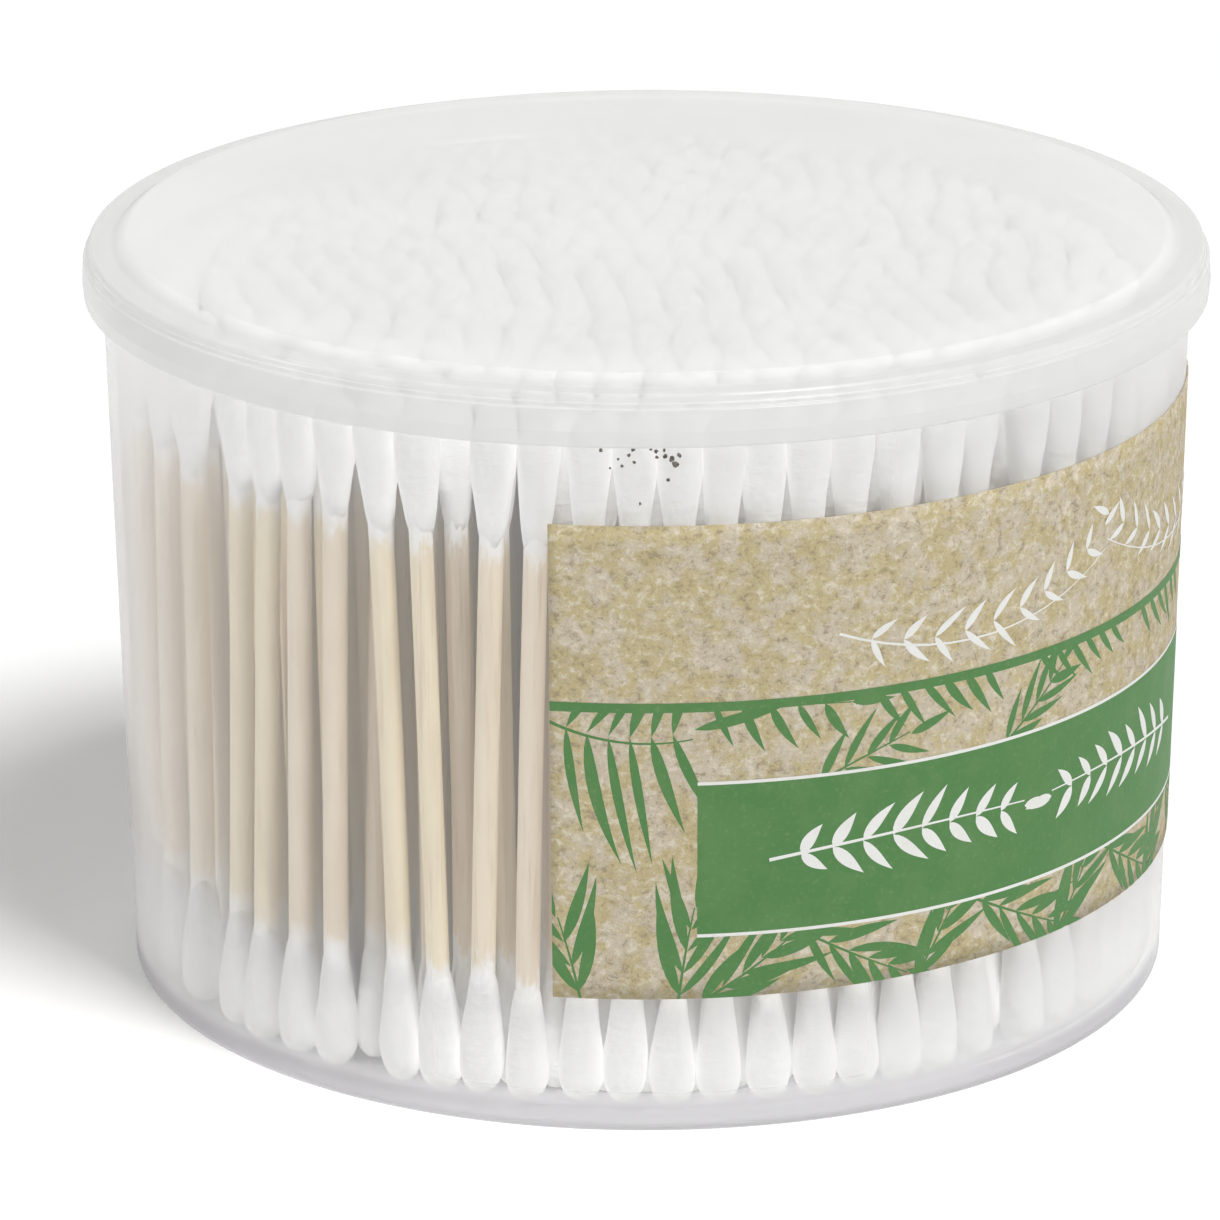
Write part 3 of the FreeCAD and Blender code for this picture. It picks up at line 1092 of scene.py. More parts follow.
@dataclass
class Label:
    """Kraft paper label glued round the wall, with a green band and a print of leaves.

    Attributes:
        tub: The tub it is glued to.
        start_deg: Angle of its left end.
        end_deg: Angle of its right end.
        bottom: Height of its lower edge.
        top: Height of its upper edge.
        glue: Thickness of the glue behind it.
        paper: Thickness of the paper.
        line_height: Height of the middle of the green line.
        band_start_deg: Angle of the band's left end.
        band_end_deg: Angle of the band's right end.
        band_bottom: Height of the band's lower edge.
        band_top: Height of the band's upper edge.
        line_half: Half the height of the green line.
        rule: Height of the white rules over and under the band.
        columns: Points along the sheet of paper.
        rows: Points up the sheet of paper.
        leaf_lift: How far the first sprig of leaves stands off the paper.
        leaf_step: How much further each next sprig stands off it.
        line_lift: How far the green line stands off the paper.
        band_lift: How far the band stands off the paper.
        rule_lift: How far the white rules stand off the paper.
        ornament_lift: How far the white sprigs stand off the paper.
        seed: Seed of the small differences between leaves.
        draft: Where its points and faces are gathered.
    """

    tub: Tub
    start_deg: float = -10.2
    end_deg: float = 101.0
    bottom: float = 15.0
    top: float = 65.4
    glue: float = 0.05
    paper: float = 0.15
    line_height: float = 46.3
    band_start_deg: float = 4.8
    band_end_deg: float = 86.0
    band_bottom: float = 22.0
    band_top: float = 38.0
    line_half: float = 0.5
    rule: float = 0.35
    columns: int = 113
    rows: int = 25
    leaf_lift: float = 0.012
    leaf_step: float = 0.002
    line_lift: float = 0.046
    band_lift: float = 0.050
    rule_lift: float = 0.055
    ornament_lift: float = 0.062
    seed: int = 5
    draft: PieceDraft = field(default_factory=PieceDraft)

    @property
    def arc_radius(self) -> float:
        """Radius at which lengths along the label are counted."""
        return self.tub.outer((self.bottom + self.top) / 2)

    def along(self, degrees: float) -> float:
        """Length along the label's arc for an angle in degrees."""
        return math.radians(degrees) * self.arc_radius

    def lay(self, shapes: list[list[FlatPoint]], lift: float, ink: Print, window: Window) -> None:
        """Lays flat shapes on the paper.

        Args:
            shapes: Polygons, as points along the arc and up.
            lift: How far they stand off the paper.
            ink: Their ink.
            window: What they are cut to.
        """
        off = self.glue + self.paper + lift
        for shape in shapes:
            cut = window.cut(shape)
            if cut:
                points = [self.tub.on_wall(x / self.arc_radius, y, off) for x, y in cut]
                self.draft.add(np.array(points), [tuple(range(len(points)))], ink.value)

    def upright(self, left: float, right: float, bottom: float,
                top: float) -> list[list[FlatPoint]]:
        """Divides a field of the label into narrow upright strips.

        Args:
            left: Start along the arc.
            right: End along the arc.
            bottom: Height of the lower edge.
            top: Height of the upper edge.

        Returns:
            The strips, each a flat polygon.
        """
        marks = np.linspace(left, right, max(2, int(right - left) + 1))
        return [[(a, bottom), (b, bottom), (b, top), (a, top)] for a, b in zip(marks, marks[1:])]

    def lay_paper(self) -> None:
        """Makes the sheet of paper."""
        columns, rows = self.columns, self.rows
        angles = np.radians(np.linspace(self.start_deg, self.end_deg, columns))
        heights = np.linspace(self.bottom, self.top, rows)
        sheets = []
        for off in (self.glue + self.paper, self.glue):
            sheets.append([self.tub.on_wall(a, z, off) for a in angles for z in heights])
        faces: list[tuple[int, ...]] = []
        back, end = columns * rows, rows - 1
        for column in range(columns - 1):
            for row in range(rows - 1):
                a, b = column * rows + row, (column + 1) * rows + row
                faces.append((a, b, b + 1, a + 1))
                faces.append((back + a, back + a + 1, back + b + 1, back + b))
            low, high = column * rows, (column + 1) * rows
            faces.append((low, back + low, back + high, high))
            faces.append((low + end, high + end, back + high + end, back + low + end))
        last = (columns - 1) * rows
        for row in range(rows - 1):
            faces.append((row, row + 1, back + row + 1, back + row))
            faces.append((last + row, back + last + row, back + last + row + 1, last + row + 1))
        self.draft.add(np.array(sheets[0] + sheets[1]), faces, Print.KRAFT.value)

    def lay_leaves(self, window: Window) -> None:
        """Prints the green leaves under the green line.

        Args:
            window: The part of the label that they may cover.
        """
        sprigs = [
            Sprig((-10.4, 44.8), -24, 15, 36, 6, 14.0, 1.2, 74),
            Sprig((-6.8, 13.0), 100, 11, 8, 3, 11.5, 1.15, 32),
            Sprig((2.6, 13.0), 84, 12, -6, 4, 11.0, 1.15, 30),
            Sprig((3.5, 46.8), -4, 17, 0, 5, 6.0, 0.95, 62),
            Sprig((3.0, 13.5), 28, 15, 14, 5, 10.0, 1.2, 30),
            Sprig((20.5, 46.8), 0, 18, 0, 6, 7.0, 0.95, 58),
            Sprig((14.0, 22.5), -32, 15, 8, 5, 8.5, 1.1, 36),
            Sprig((15.0, 36.5), 26, 13, -8, 4, 6.5, 1.0, 38),
            Sprig((27.0, 13.0), 52, 12, 14, 4, 9.0, 1.2, 30),
            Sprig((41.0, 46.8), 0, 17, 0, 6, 6.0, 0.95, 60),
            Sprig((34.0, 22.5), -28, 16, 6, 5, 8.5, 1.1, 36),
            Sprig((37.0, 36.5), 34, 13, 8, 4, 6.5, 1.0, 36),
            Sprig((46.0, 13.0), 48, 12, 10, 4, 9.0, 1.2, 30),
            Sprig((60.0, 46.8), 0, 18, 0, 6, 7.0, 0.95, 58),
            Sprig((55.0, 22.5), -30, 16, 6, 5, 8.5, 1.1, 36),
            Sprig((66.0, 13.0), 50, 12, 10, 4, 9.0, 1.2, 30),
            Sprig((79.0, 46.8), 0, 17, 0, 6, 6.5, 0.95, 60),
            Sprig((75.0, 22.5), -30, 15, 6, 5, 8.5, 1.1, 36),
            Sprig((88.0, 13.0), 80, 13, 12, 5, 12.0, 1.25, 28),
            Sprig((86.5, 42.5), 14, 13, -40, 5, 13.0, 1.25, 70),
        ]
        chance = np.random.default_rng(self.seed)
        for number, sprig in enumerate(sprigs):
            lift = self.leaf_lift + self.leaf_step * number
            self.lay(sprig.layout(chance), lift, Print.GREEN, window)

    def lay_ornament(self, window: Window) -> None:
        """Prints white sprigs on the band and on the pale part of the label.

        Args:
            window: The whole printed face of the label.
        """
        chance = np.random.default_rng(self.seed + 1)
        sprigs = [
            Sprig((19.0, 53.0), -20, 36, 50, 9, 4.4, 0.8, 50.0),
            Sprig((89.0, 54.0), 200, 36, -50, 9, 4.4, 0.8, 50.0),
            Sprig((12.0, 29.6), 8, 30, -12, 8, 5.0, 1.25, 54.0),
            Sprig((76.0, 29.6), 172, 30, 12, 8, 5.0, 1.25, 54.0),
        ]
        for sprig in sprigs:
            self.lay(sprig.layout(chance), self.ornament_lift, Print.WHITE, window)

    def build(self) -> bpy.types.Object:
        """Builds and dresses the label.

        Returns:
            The finished piece.
        """
        left, right = self.along(self.start_deg), self.along(self.end_deg)
        band = self.along(self.band_start_deg), self.along(self.band_end_deg)
        whole = Window(left, right, self.bottom, self.top)
        self.lay_paper()
        self.lay_leaves(Window(left, right, self.bottom, self.line_height))
        low, high = self.line_height - self.line_half, self.line_height + self.line_half
        self.lay(self.upright(left, right, low, high), self.line_lift, Print.GREEN, whole)
        field_of_band = self.upright(*band, self.band_bottom, self.band_top)
        self.lay(field_of_band, self.band_lift, Print.GREEN, whole)
        for low in (self.band_bottom - self.rule, self.band_top):
            self.lay(self.upright(*band, low, low + self.rule), self.rule_lift, Print.WHITE, whole)
        self.lay_ornament(whole)
        piece = self.draft.finish("label_print", [
            KraftPaper().build(),
            PrintInk("green_ink", (0.085, 0.225, 0.070), (0.20, 0.31, 0.13)).build(),
            PrintInk("white_ink", (0.86, 0.86, 0.83), (0.74, 0.72, 0.64)).build(),
        ])
        piece.visible_shadow = False
        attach(piece, "tub")
        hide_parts("label")
        return piece


@dataclass(frozen=True)
class StudioCamera:
    """Long lens that looks down at the front of the tub.

    Attributes:
        aim: The point it looks at.
        distance: How far it stands from that point.
        elevation_deg: How far above the horizon it stands.
        roll_deg: How far the picture is turned.
        focal_px: Its focal length, in pixels of the picture.
        sensor: Width of its sensor.
    """

    aim: tuple[float, float, float] = (-3.943, 0.0, 37.635)
    distance: float = 827.4
    elevation_deg: float = 18.59
    roll_deg: float = -0.2194
    focal_px: float = 7774.0
    sensor: float = 36.0

    def axes(self) -> tuple[Vector, Vector, Vector, Vector]:
        """Finds where the camera stands and how it is turned.

        Returns:
            Its place, and its right, up and forward directions.
        """
        lift, roll = math.radians(self.elevation_deg), math.radians(self.roll_deg)
        ahead = Vector((0, math.cos(lift), -math.sin(lift)))
        side, top = Vector((1, 0, 0)), Vector((0, math.sin(lift), math.cos(lift)))
        right = side * math.cos(roll) + top * math.sin(roll)
        up = top * math.cos(roll) - side * math.sin(roll)
        return Vector(self.aim) - ahead * self.distance, right, up, ahead

    def on_cylinder(self, pixel: FlatPoint, radius: float) -> Vector:
        """Finds the point of an upright cylinder's near side that a pixel shows.

        Args:
            pixel: Place in the picture, from its upper left corner.
            radius: Radius of the cylinder, which stands on the tub's axis.

        Returns:
            The point.
        """
        place, right, up, ahead = self.axes()
        middle = PICTURE_SIDE_PX / 2
        ray = ahead + right * ((pixel[0] - middle) / self.focal_px)
        ray -= up * ((pixel[1] - middle) / self.focal_px)
        a = ray.x ** 2 + ray.y ** 2
        b = place.x * ray.x + place.y * ray.y
        c = place.x ** 2 + place.y ** 2 - radius ** 2
        return place + ray * ((-b - math.sqrt(max(b * b - a * c, 0.0))) / a)

    def build(self) -> bpy.types.Object:
        """Makes the camera and gives it to the scene.

        Returns:
            The camera.
        """
        data = bpy.data.cameras.new("studio_camera")
        data.sensor_width = self.sensor
        data.lens = self.focal_px / PICTURE_SIDE_PX * self.sensor
        data.clip_start, data.clip_end = 0.01, 20.0
        place, right, up, ahead = self.axes()
        camera = bpy.data.objects.new("studio_camera", data)
        turn = Matrix((right, up, -ahead)).transposed().to_4x4()
        camera.matrix_world = Matrix.Translation(place * MM) @ turn
        bpy.context.scene.collection.objects.link(camera)
        bpy.context.scene.camera = camera
        return camera


@dataclass
class SwabLayout:
    """Where each swab stands.

    The swabs that show plainly through the wall stand where their pixels in the picture say.
    The others fill the tub at random, and are pushed apart a set number of times.

    Attributes:
        tub: The tub they stand in.
        camera: The camera that the pixels belong to.
        length: Length of a swab.
        girth: Greatest width of its cotton.
        wall_gap: Gap between cotton of that width and the wall.
        foot_height: Height of the lower ends.
        belly: How far from its end the cotton is widest.
        row_count: How many swabs stand along the wall.
        inner_count: How many stand behind them.
        behind_depth: How far the seen swabs of the second row stand behind the first.
        second_depth: How far the rest of the second row stands behind it, as a share of the girth.
        third_depth: The same for all the others.
        spacing: How close two swabs may stand, as a share of the girth.
        rounds: How often they are pushed apart.
        push: How much of what is missing each push makes good.
        row_stray: How unevenly the rest of the outer row stands round the wall, in radians.
        second_stray: The same for the second row.
        comb_turn_deg: How far the honeycomb of the others is turned.
        stray: How far the others stand off the honeycomb, as a share of its pitch.
        lean: How far the upper ends stray from over the lower ones.
        seed: Seed of all that is left to chance.
        front_px: Place across the picture of each seen swab's upper root and lower belly.
        behind_px: The same for the seen swabs of the second row.
        upper_line_px: How far down the picture the upper places were read.
        lower_line_px: How far down the picture the lower places were read.
    """

    tub: Tub
    camera: StudioCamera
    length: float = 73.0
    girth: float = 4.3
    wall_gap: float = 0.2
    foot_height: float = 2.2
    belly: float = 4.2
    row_count: int = 72
    inner_count: int = 428
    behind_depth: float = 3.2
    second_depth: float = 0.87
    third_depth: float = 1.78
    spacing: float = 0.985
    rounds: int = 160
    push: float = 0.45
    row_stray: float = 0.009
    second_stray: float = 0.016
    comb_turn_deg: float = 17.0
    stray: float = 0.45
    lean: float = 0.45
    seed: int = 23
    front_px: tuple[FlatPoint, ...] = (
        (168, 180), (193, 206), (242, 242), (271, 267), (300, 302), (337, 337), (377, 402),
        (418, 441), (494, 482), (539, 527), (590, 581), (635, 625), (680, 672), (723, 718),
        (763, 768), (808, 814), (851, 856), (896, 898), (942, 934), (974, 970), (1025, 1021),
        (1058, 1052), (1089, 1079),
    )
    behind_px: tuple[FlatPoint, ...] = ((398, 372), (461, 497), (564, 554), (1000, 990))
    upper_line_px: float = 515.0
    lower_line_px: float = 1045.0

    def limit(self, end: SwabEnd) -> float:
        """Radius that a swab's axis may reach, at the belly of its cotton."""
        low = self.foot_height + self.belly
        height = low if end is SwabEnd.LOWER else self.foot_height + self.length - self.belly
        return self.tub.inner(height) - self.girth / 2 - self.wall_gap

    def seen(self, end: SwabEnd) -> tuple[np.ndarray, np.ndarray]:
        """Reads the seen swabs' places from the picture.

        Args:
            end: Which end is asked for.

        Returns:
            The places of the front swabs, and of the ones behind them.
        """
        column = 0 if end is SwabEnd.UPPER else 1
        down = self.upper_line_px if end is SwabEnd.UPPER else self.lower_line_px
        found = []
        for pixels, back in ((self.front_px, 0.0), (self.behind_px, self.behind_depth)):
            radius = self.limit(end) - back
            places = [self.camera.on_cylinder((pair[column], down), radius) for pair in pixels]
            found.append(np.array([(place.x, place.y) for place in places]))
        return found[0], found[1]

    def settle(self, points: np.ndarray, held: int, row: int, limit: float) -> np.ndarray:
        """Pushes apart swabs that stand too close, and keeps them inside the wall.

        Args:
            points: Where they stand.
            held: How many of the first keep their place across the picture.
            row: How many of the first stand along the wall.
            limit: Radius that none may pass.

        Returns:
            Where they stand afterwards.
        """
        across = points[:held, 0].copy()
        spacing = self.spacing * self.girth
        for _ in range(self.rounds):
            gap = points[:, None] - points[None]
            near = np.hypot(gap[..., 0], gap[..., 1])
            np.fill_diagonal(near, spacing)
            push = np.clip(spacing - near, 0, None) / np.maximum(near, 0.05)
            points = points + self.push * (gap * push[..., None]).sum(axis=1)
            points[:held, 0] = across
            reach = np.hypot(points[:, 0], points[:, 1])
            scale = np.minimum(1, limit / reach)
            scale[held:row] = np.clip(limit / reach[held:row], 1, 1.01) * scale[held:row]
            points *= scale[:, None]
            points[:held, 0] = across
            depth = np.sqrt(np.maximum(limit ** 2 - across ** 2, 0.0))
            points[:held, 1] = np.maximum(points[:held, 1], -depth)
        return points

    def nestle(self, row: np.ndarray, behind: np.ndarray, limit: float) -> np.ndarray:
        """Stands a second row in the hollows of the outer one, save where seen swabs stand.

        Args:
            row: Where the outer row stands.
            behind: Where the seen swabs of the second row stand.
            limit: Radius that the outer row stands on.

        Returns:
            Where the rest of the second row stands, before it is pushed apart.
        """
        chance = np.random.default_rng(self.seed + 2)
        angles = np.sort(np.arctan2(row[:, 0], -row[:, 1]))
        hollows = (angles + np.append(angles[1:], angles[0] + 2 * math.pi)) / 2
        hollows = hollows + chance.normal(0, self.second_stray, len(hollows))
        radius = limit - self.second_depth * self.girth
        places = radius * np.stack([np.sin(hollows), -np.cos(hollows)], axis=1)
        near = np.min(np.hypot(*(places[:, None] - behind[None]).transpose(2, 0, 1)), axis=1)
        return places[np.sort(np.argsort(-near)[:len(row) - len(behind)])]

    def scatter(self, limit: float) -> np.ndarray:
        """Scatters the swabs behind the second row over a honeycomb.

        Args:
            limit: Radius that the outer row stands on.

        Returns:
            Where they stand, before they are pushed apart.
        """
        chance = np.random.default_rng(self.seed + 1)
        others = self.inner_count - self.row_count
        reach = limit - self.third_depth * self.girth
        pitch = reach * math.sqrt(math.pi / (others * math.sqrt(3) / 2))
        span = int(reach / pitch) + 3
        cells = np.array([(column + line / 2, line * math.sqrt(3) / 2)
                          for line in range(-span, span + 1)
                          for column in range(-2 * span, 2 * span + 1)])
        turn = math.radians(self.comb_turn_deg)
        cells = pitch * cells @ np.array([[math.cos(turn), math.sin(turn)],
                                          [-math.sin(turn), math.cos(turn)]])
        order = np.argsort(np.hypot(cells[:, 0], cells[:, 1]))
        return cells[order[:others]] + chance.normal(0, self.stray * pitch, (others, 2))

    def stand(self) -> dict[SwabEnd, np.ndarray]:
        """Finds where every swab stands: the seen ones, the rest of the row, then the others.

        Returns:
            For each end, one row of x and y for each swab.
        """
        chance = np.random.default_rng(self.seed)
        limit = self.limit(SwabEnd.LOWER)
        front, behind = self.seen(SwabEnd.LOWER)
        first = math.atan2(front[0][0], -front[0][1])
        last = math.atan2(front[-1][0], -front[-1][1])
        others = self.row_count - len(front)
        angles = np.linspace(last, first + 2 * math.pi, others + 2)[1:-1]
        angles = angles + chance.normal(0, self.row_stray, others)
        row = limit * np.stack([np.sin(angles), -np.cos(angles)], axis=1)
        outer = np.concatenate([front, row])
        nestled, scattered = self.nestle(outer, behind, limit), self.scatter(limit)
        low = np.concatenate([outer, behind, nestled, scattered])
        low = self.settle(low, len(front), self.row_count, limit)
        upper_limit = self.limit(SwabEnd.UPPER)
        high = low * upper_limit / limit + chance.normal(0, self.lean, low.shape)
        second = slice(self.row_count, self.row_count + len(behind))
        high[:len(front)], high[second] = self.seen(SwabEnd.UPPER)
        high = self.settle(high, len(front), self.row_count, upper_limit)
        return {SwabEnd.LOWER: low, SwabEnd.UPPER: high}


@dataclass
class Swabs:
    """One group of swabs: its sticks and its cotton.

    Attributes:
        layout: The sizes of a swab and of the stand.
        places: Where every swab of the tub stands, for each end.
        first: Number of the group's first swab in the layout.
        count: How many swabs it has.
        head_sides: Points round a cotton tip.
        head_rings: Rings along a cotton tip.
        stick_sides: Points round a stick.
        cotton: The cotton's finish.
        bamboo: The sticks' finish.
        plump: How much wider its cotton is than usual.
        room: How far the cotton may swell past the usual girth, on each side.
        stick_radius: Radius of a stick.
        tip_length: Length of a cotton tip.
        length_spread: How much that length differs between tips.
        length_limit: The most that it may differ.
        lift_spread: How much the swabs' height over the floor differs.
        lifts: The lowest and the highest that a swab stands.
        swell_spread: How much the tips' width differs, as a share of it.
        swells: The narrowest and the widest tip, as shares of the usual one.
        bow_spread: How much the sticks bow.
        oval: How far a stick is from round, as a share of its radius.
        seed: Seed of the small differences between swabs.
    """

    layout: SwabLayout
    places: dict[SwabEnd, np.ndarray]
    first: int
    count: int
    head_sides: int
    head_rings: int
    stick_sides: int
    cotton: bpy.types.Material
    bamboo: bpy.types.Material
    plump: float = 1.0
    room: float = 0.04
    stick_radius: float = 1.25
    tip_length: float = 13.0
    length_spread: float = 0.6
    length_limit: float = 1.2
    lift_spread: float = 0.22
    lifts: Span = (-0.05, 0.6)
    swell_spread: float = 0.022
    swells: Span = (0.94, 1.03)
    bow_spread: float = 0.14
    oval: float = 0.035
    seed: int = 31

    def __post_init__(self) -> None:
        """Draws the differences between the swabs."""
        chance = np.random.default_rng(self.seed + self.first)
        spread = slice(self.first, self.first + self.count)
        self.low = self.places[SwabEnd.LOWER][spread]
        self.high = self.places[SwabEnd.UPPER][spread]
        both = (2, self.count)
        most = self.length_limit
        self.lift = chance.normal(0, self.lift_spread, self.count).clip(*self.lifts)
        self.tone = chance.random(self.count)
        self.swell = chance.normal(1.0, self.swell_spread, both).clip(*self.swells)
        self.reach = self.tip_length + chance.normal(0, self.length_spread, both).clip(-most, most)
        self.phase = chance.uniform(0, 2 * np.pi, (len(LUMPS), self.count))
        self.bow = chance.normal(0, self.bow_spread, both)

    def centre(self, height: np.ndarray) -> np.ndarray:
        """Finds the swabs' axes at given heights.

        Args:
            height: Heights above the ground, with the swabs along the first axis.

        Returns:
            The x and y of each swab's axis at each of its heights.
        """
        layout = self.layout
        low = layout.foot_height + layout.belly
        high = layout.foot_height + layout.length - layout.belly
        share = ((height - low) / (high - low))[..., None]
        shape = (self.count,) + (1,) * (height.ndim - 1) + (2,)
        line = self.low.reshape(shape) * (1 - share) + self.high.reshape(shape) * share
        belly = np.clip(4 * share * (1 - share), 0, 1)
        return line + self.bow.T.reshape(shape) * belly

    def add_heads(self, draft: PieceDraft, end: SwabEnd) -> None:
        """Adds the cotton tips of one end.

        Each is a long teardrop, a little lumpy, with an uneven root.

        Args:
            draft: The draft they go into.
            end: Which end they are on.
        """
        upper = end is SwabEnd.UPPER
        sign, pick = (-1, 1) if upper else (1, 0)
        start = self.layout.foot_height + (self.layout.length if upper else 0)
        along = HEAD_KNOTS[1] + (1 - HEAD_KNOTS[1]) * np.linspace(0, 1, self.head_rings) ** 1.25
        width = np.interp(along, HEAD_KNOTS, HEAD_RADII)
        turn = np.linspace(0, 2 * np.pi, self.head_sides, endpoint=False)
        phases = self.phase[:, :, None, None]
        s = along[None, :, None]
        t = turn[None, None, :]
        lumps = sum(depth * np.sin(waves * t + phase + twist * s)
                    for (depth, waves, twist), phase in zip(LUMPS, phases))
        radius = width[None, :, None] * self.swell[pick][:, None, None] * (1 + lumps)
        radius = np.minimum(self.plump * radius, self.layout.girth / 2 + self.room)
        ragged = sum(depth * np.sin(waves * t + phases[number])
                     for depth, waves, number in ROOT_WAVES)
        distance = s * self.reach[pick][:, None, None] + ragged * s ** 4
        height = start + self.lift[:, None, None] + sign * distance
        centre = self.centre(height)
        order = slice(None, None, sign)
        points = np.stack([
            centre[..., 0] + radius * np.cos(t), centre[..., 1] + radius * np.sin(t), height,
        ], axis=-1)[:, order]
        ends = [points[:, place].mean(axis=1) for place in (0, -1)]
        ends[1 if upper else 0][:, 2] = start + self.lift
        bodies = np.concatenate([points.reshape(self.count, -1, 3), np.stack(ends, axis=1)], axis=1)
        tones = np.repeat(self.tone, bodies.shape[1])
        draft.add(bodies, ring_faces(self.count, self.head_rings, self.head_sides), tone=tones)

    def add_sticks(self, draft: PieceDraft) -> None:
        """Adds the sticks, with marks for their tone and for the fluff near their ends.

        Args:
            draft: The draft they go into.
        """
        layout = self.layout
        steps, clings = np.array(FLUFF_PLACES), np.array(FLUFF_SHARES)
        low = layout.foot_height + self.lift + self.reach[0]
        high = layout.foot_height + layout.length + self.lift - self.reach[1]
        middle = low[:, None] + (high - low)[:, None] * np.array([0.25, 0.5, 0.75])
        heights = np.concatenate([
            low[:, None] + steps, middle, high[:, None] - steps[::-1],
        ], axis=1)
        cling = np.concatenate([clings, np.zeros(3), clings[::-1]])
        rings = heights.shape[1]
        turn = np.linspace(0, 2 * np.pi, self.stick_sides, endpoint=False)
        t = turn[None, None, :] + self.phase[3][:, None, None]
        wave = np.sin(2 * turn[None, None, :] + self.phase[0][:, None, None])
        oval = 1 + self.oval * wave
        radius = self.stick_radius * oval * np.ones((1, rings, 1))
        centre = self.centre(heights)
        points = np.stack([
            centre[..., :1] + radius * np.cos(t), centre[..., 1:] + radius * np.sin(t),
            np.repeat(heights[..., None], self.stick_sides, axis=2),
        ], axis=-1)
        ends = np.stack([points[:, 0].mean(axis=1), points[:, -1].mean(axis=1)], axis=1)
        bodies = np.concatenate([points.reshape(self.count, -1, 3), ends], axis=1)
        marks = np.concatenate([np.repeat(cling, self.stick_sides), [1.0, 1.0]])
        draft.add(bodies, ring_faces(self.count, rings, self.stick_sides),
                  tone=np.repeat(self.tone, bodies.shape[1]), fluff=np.tile(marks, self.count))

    def dress(self, name: str, draft: PieceDraft, material: bpy.types.Material, slot: str,
              nodes: list[str]) -> bpy.types.Object:
        """Turns a draft into a piece of the tub.

        Args:
            name: Name of the piece.
            draft: What it is made of.
            material: Its material.
            slot: Not used.
            nodes: The nodes it stands for.

        Returns:
            The finished piece.
        """
        piece = draft.finish(name, [material])
        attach(piece, "tub")
        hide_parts(*nodes)
        return piece


@dataclass
class OuterRow(Swabs):
    """The swabs that stand along the wall."""

    def build(self) -> list[bpy.types.Object]:
        """Builds and dresses the row.

        Returns:
            Its cotton and its sticks.
        """
        cotton, sticks = PieceDraft(), PieceDraft()
        for end in SwabEnd:
            self.add_heads(cotton, end)
        self.add_sticks(sticks)
        tips = self.dress("outer_row_cotton", cotton, self.cotton, "cotton",
                          ["outer_upper_tips", "outer_lower_tips"])
        tips.visible_shadow = False
        return [tips, self.dress("outer_row_sticks", sticks, self.bamboo, "bamboo",
                                 ["outer_sticks"])]


@dataclass
class InnerSwabs(Swabs):
    """The swabs behind the outer row."""

    def build(self) -> list[bpy.types.Object]:
        """Builds and dresses the swabs.

        Returns:
            Their upper cotton, lower cotton and sticks.
        """
        pieces = []
        for end in SwabEnd:
            draft = PieceDraft()
            self.add_heads(draft, end)
            pieces.append(self.dress(f"inner_{end.value}_cotton", draft, self.cotton, "cotton",
                                     [f"inner_{end.value}_tips"]))
        sticks = PieceDraft()
        self.add_sticks(sticks)
        pieces.append(self.dress("inner_swab_sticks", sticks, self.bamboo, "bamboo",
                                 ["inner_sticks"]))
        return pieces


@dataclass
class TapeTraces:
    """Flecks of dirt on the wall above the label.

    Attributes:
        tub: The tub they stick to.
        camera: The camera that the pixels belong to.
        flecks_px: Place in the picture and size of each fleck.
        line_height: Height of the wall at about which they lie.
        px_per_mm: Scale of the picture there.
        swell: How much larger than in the picture they are made.
        sides: Points round a fleck.
        seed: Seed of their ragged outlines.
    """

    tub: Tub
    camera: StudioCamera
    flecks_px: tuple[tuple[float, float, float], ...] = (
        (601, 450, 4), (633, 449, 4), (629, 455, 3), (634, 462, 3), (618, 459, 2.5), (622, 466, 3),
        (610, 468, 2), (651, 449, 3), (656, 451, 4), (664, 450, 3), (657, 457, 3), (665, 456, 4),
        (675, 464, 6), (672, 459, 5), (679, 455, 4), (668, 480, 3), (640, 504, 2.5),
    )
    line_height: float = 70.0
    px_per_mm: float = 10.06
    swell: float = 1.24
    sides: int = 9
    seed: int = 3

    def build(self) -> bpy.types.Object:
        """Builds and dresses the flecks.

        Returns:
            The finished piece.
        """
        chance = np.random.default_rng(self.seed)
        draft = PieceDraft()
        for x, y, size in self.flecks_px:
            spot = self.camera.on_cylinder((x, y), self.tub.outer(self.line_height))
            angle = math.atan2(spot.x, -spot.y)
            half = self.swell * size / self.px_per_mm / 2
            points = []
            for lift, scale in ((0.0, 1.0), (0.07, 0.75)):
                for side in range(self.sides):
                    turn = 2 * math.pi * side / self.sides
                    reach = half * scale * chance.uniform(0.6, 1.25)
                    round_by = angle + reach * math.cos(turn) / self.tub.outer(spot.z)
                    up_by = spot.z + reach * math.sin(turn)
                    points.append(self.tub.on_wall(round_by, up_by, lift))
            points.append(self.tub.on_wall(angle, spot.z, 0.0))
            points.append(self.tub.on_wall(angle, spot.z, 0.11))
            draft.add(np.array(points), ring_faces(1, 2, self.sides))
        piece = draft.finish("tape_flecks", [Grime().build()])
        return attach(piece, "tub")


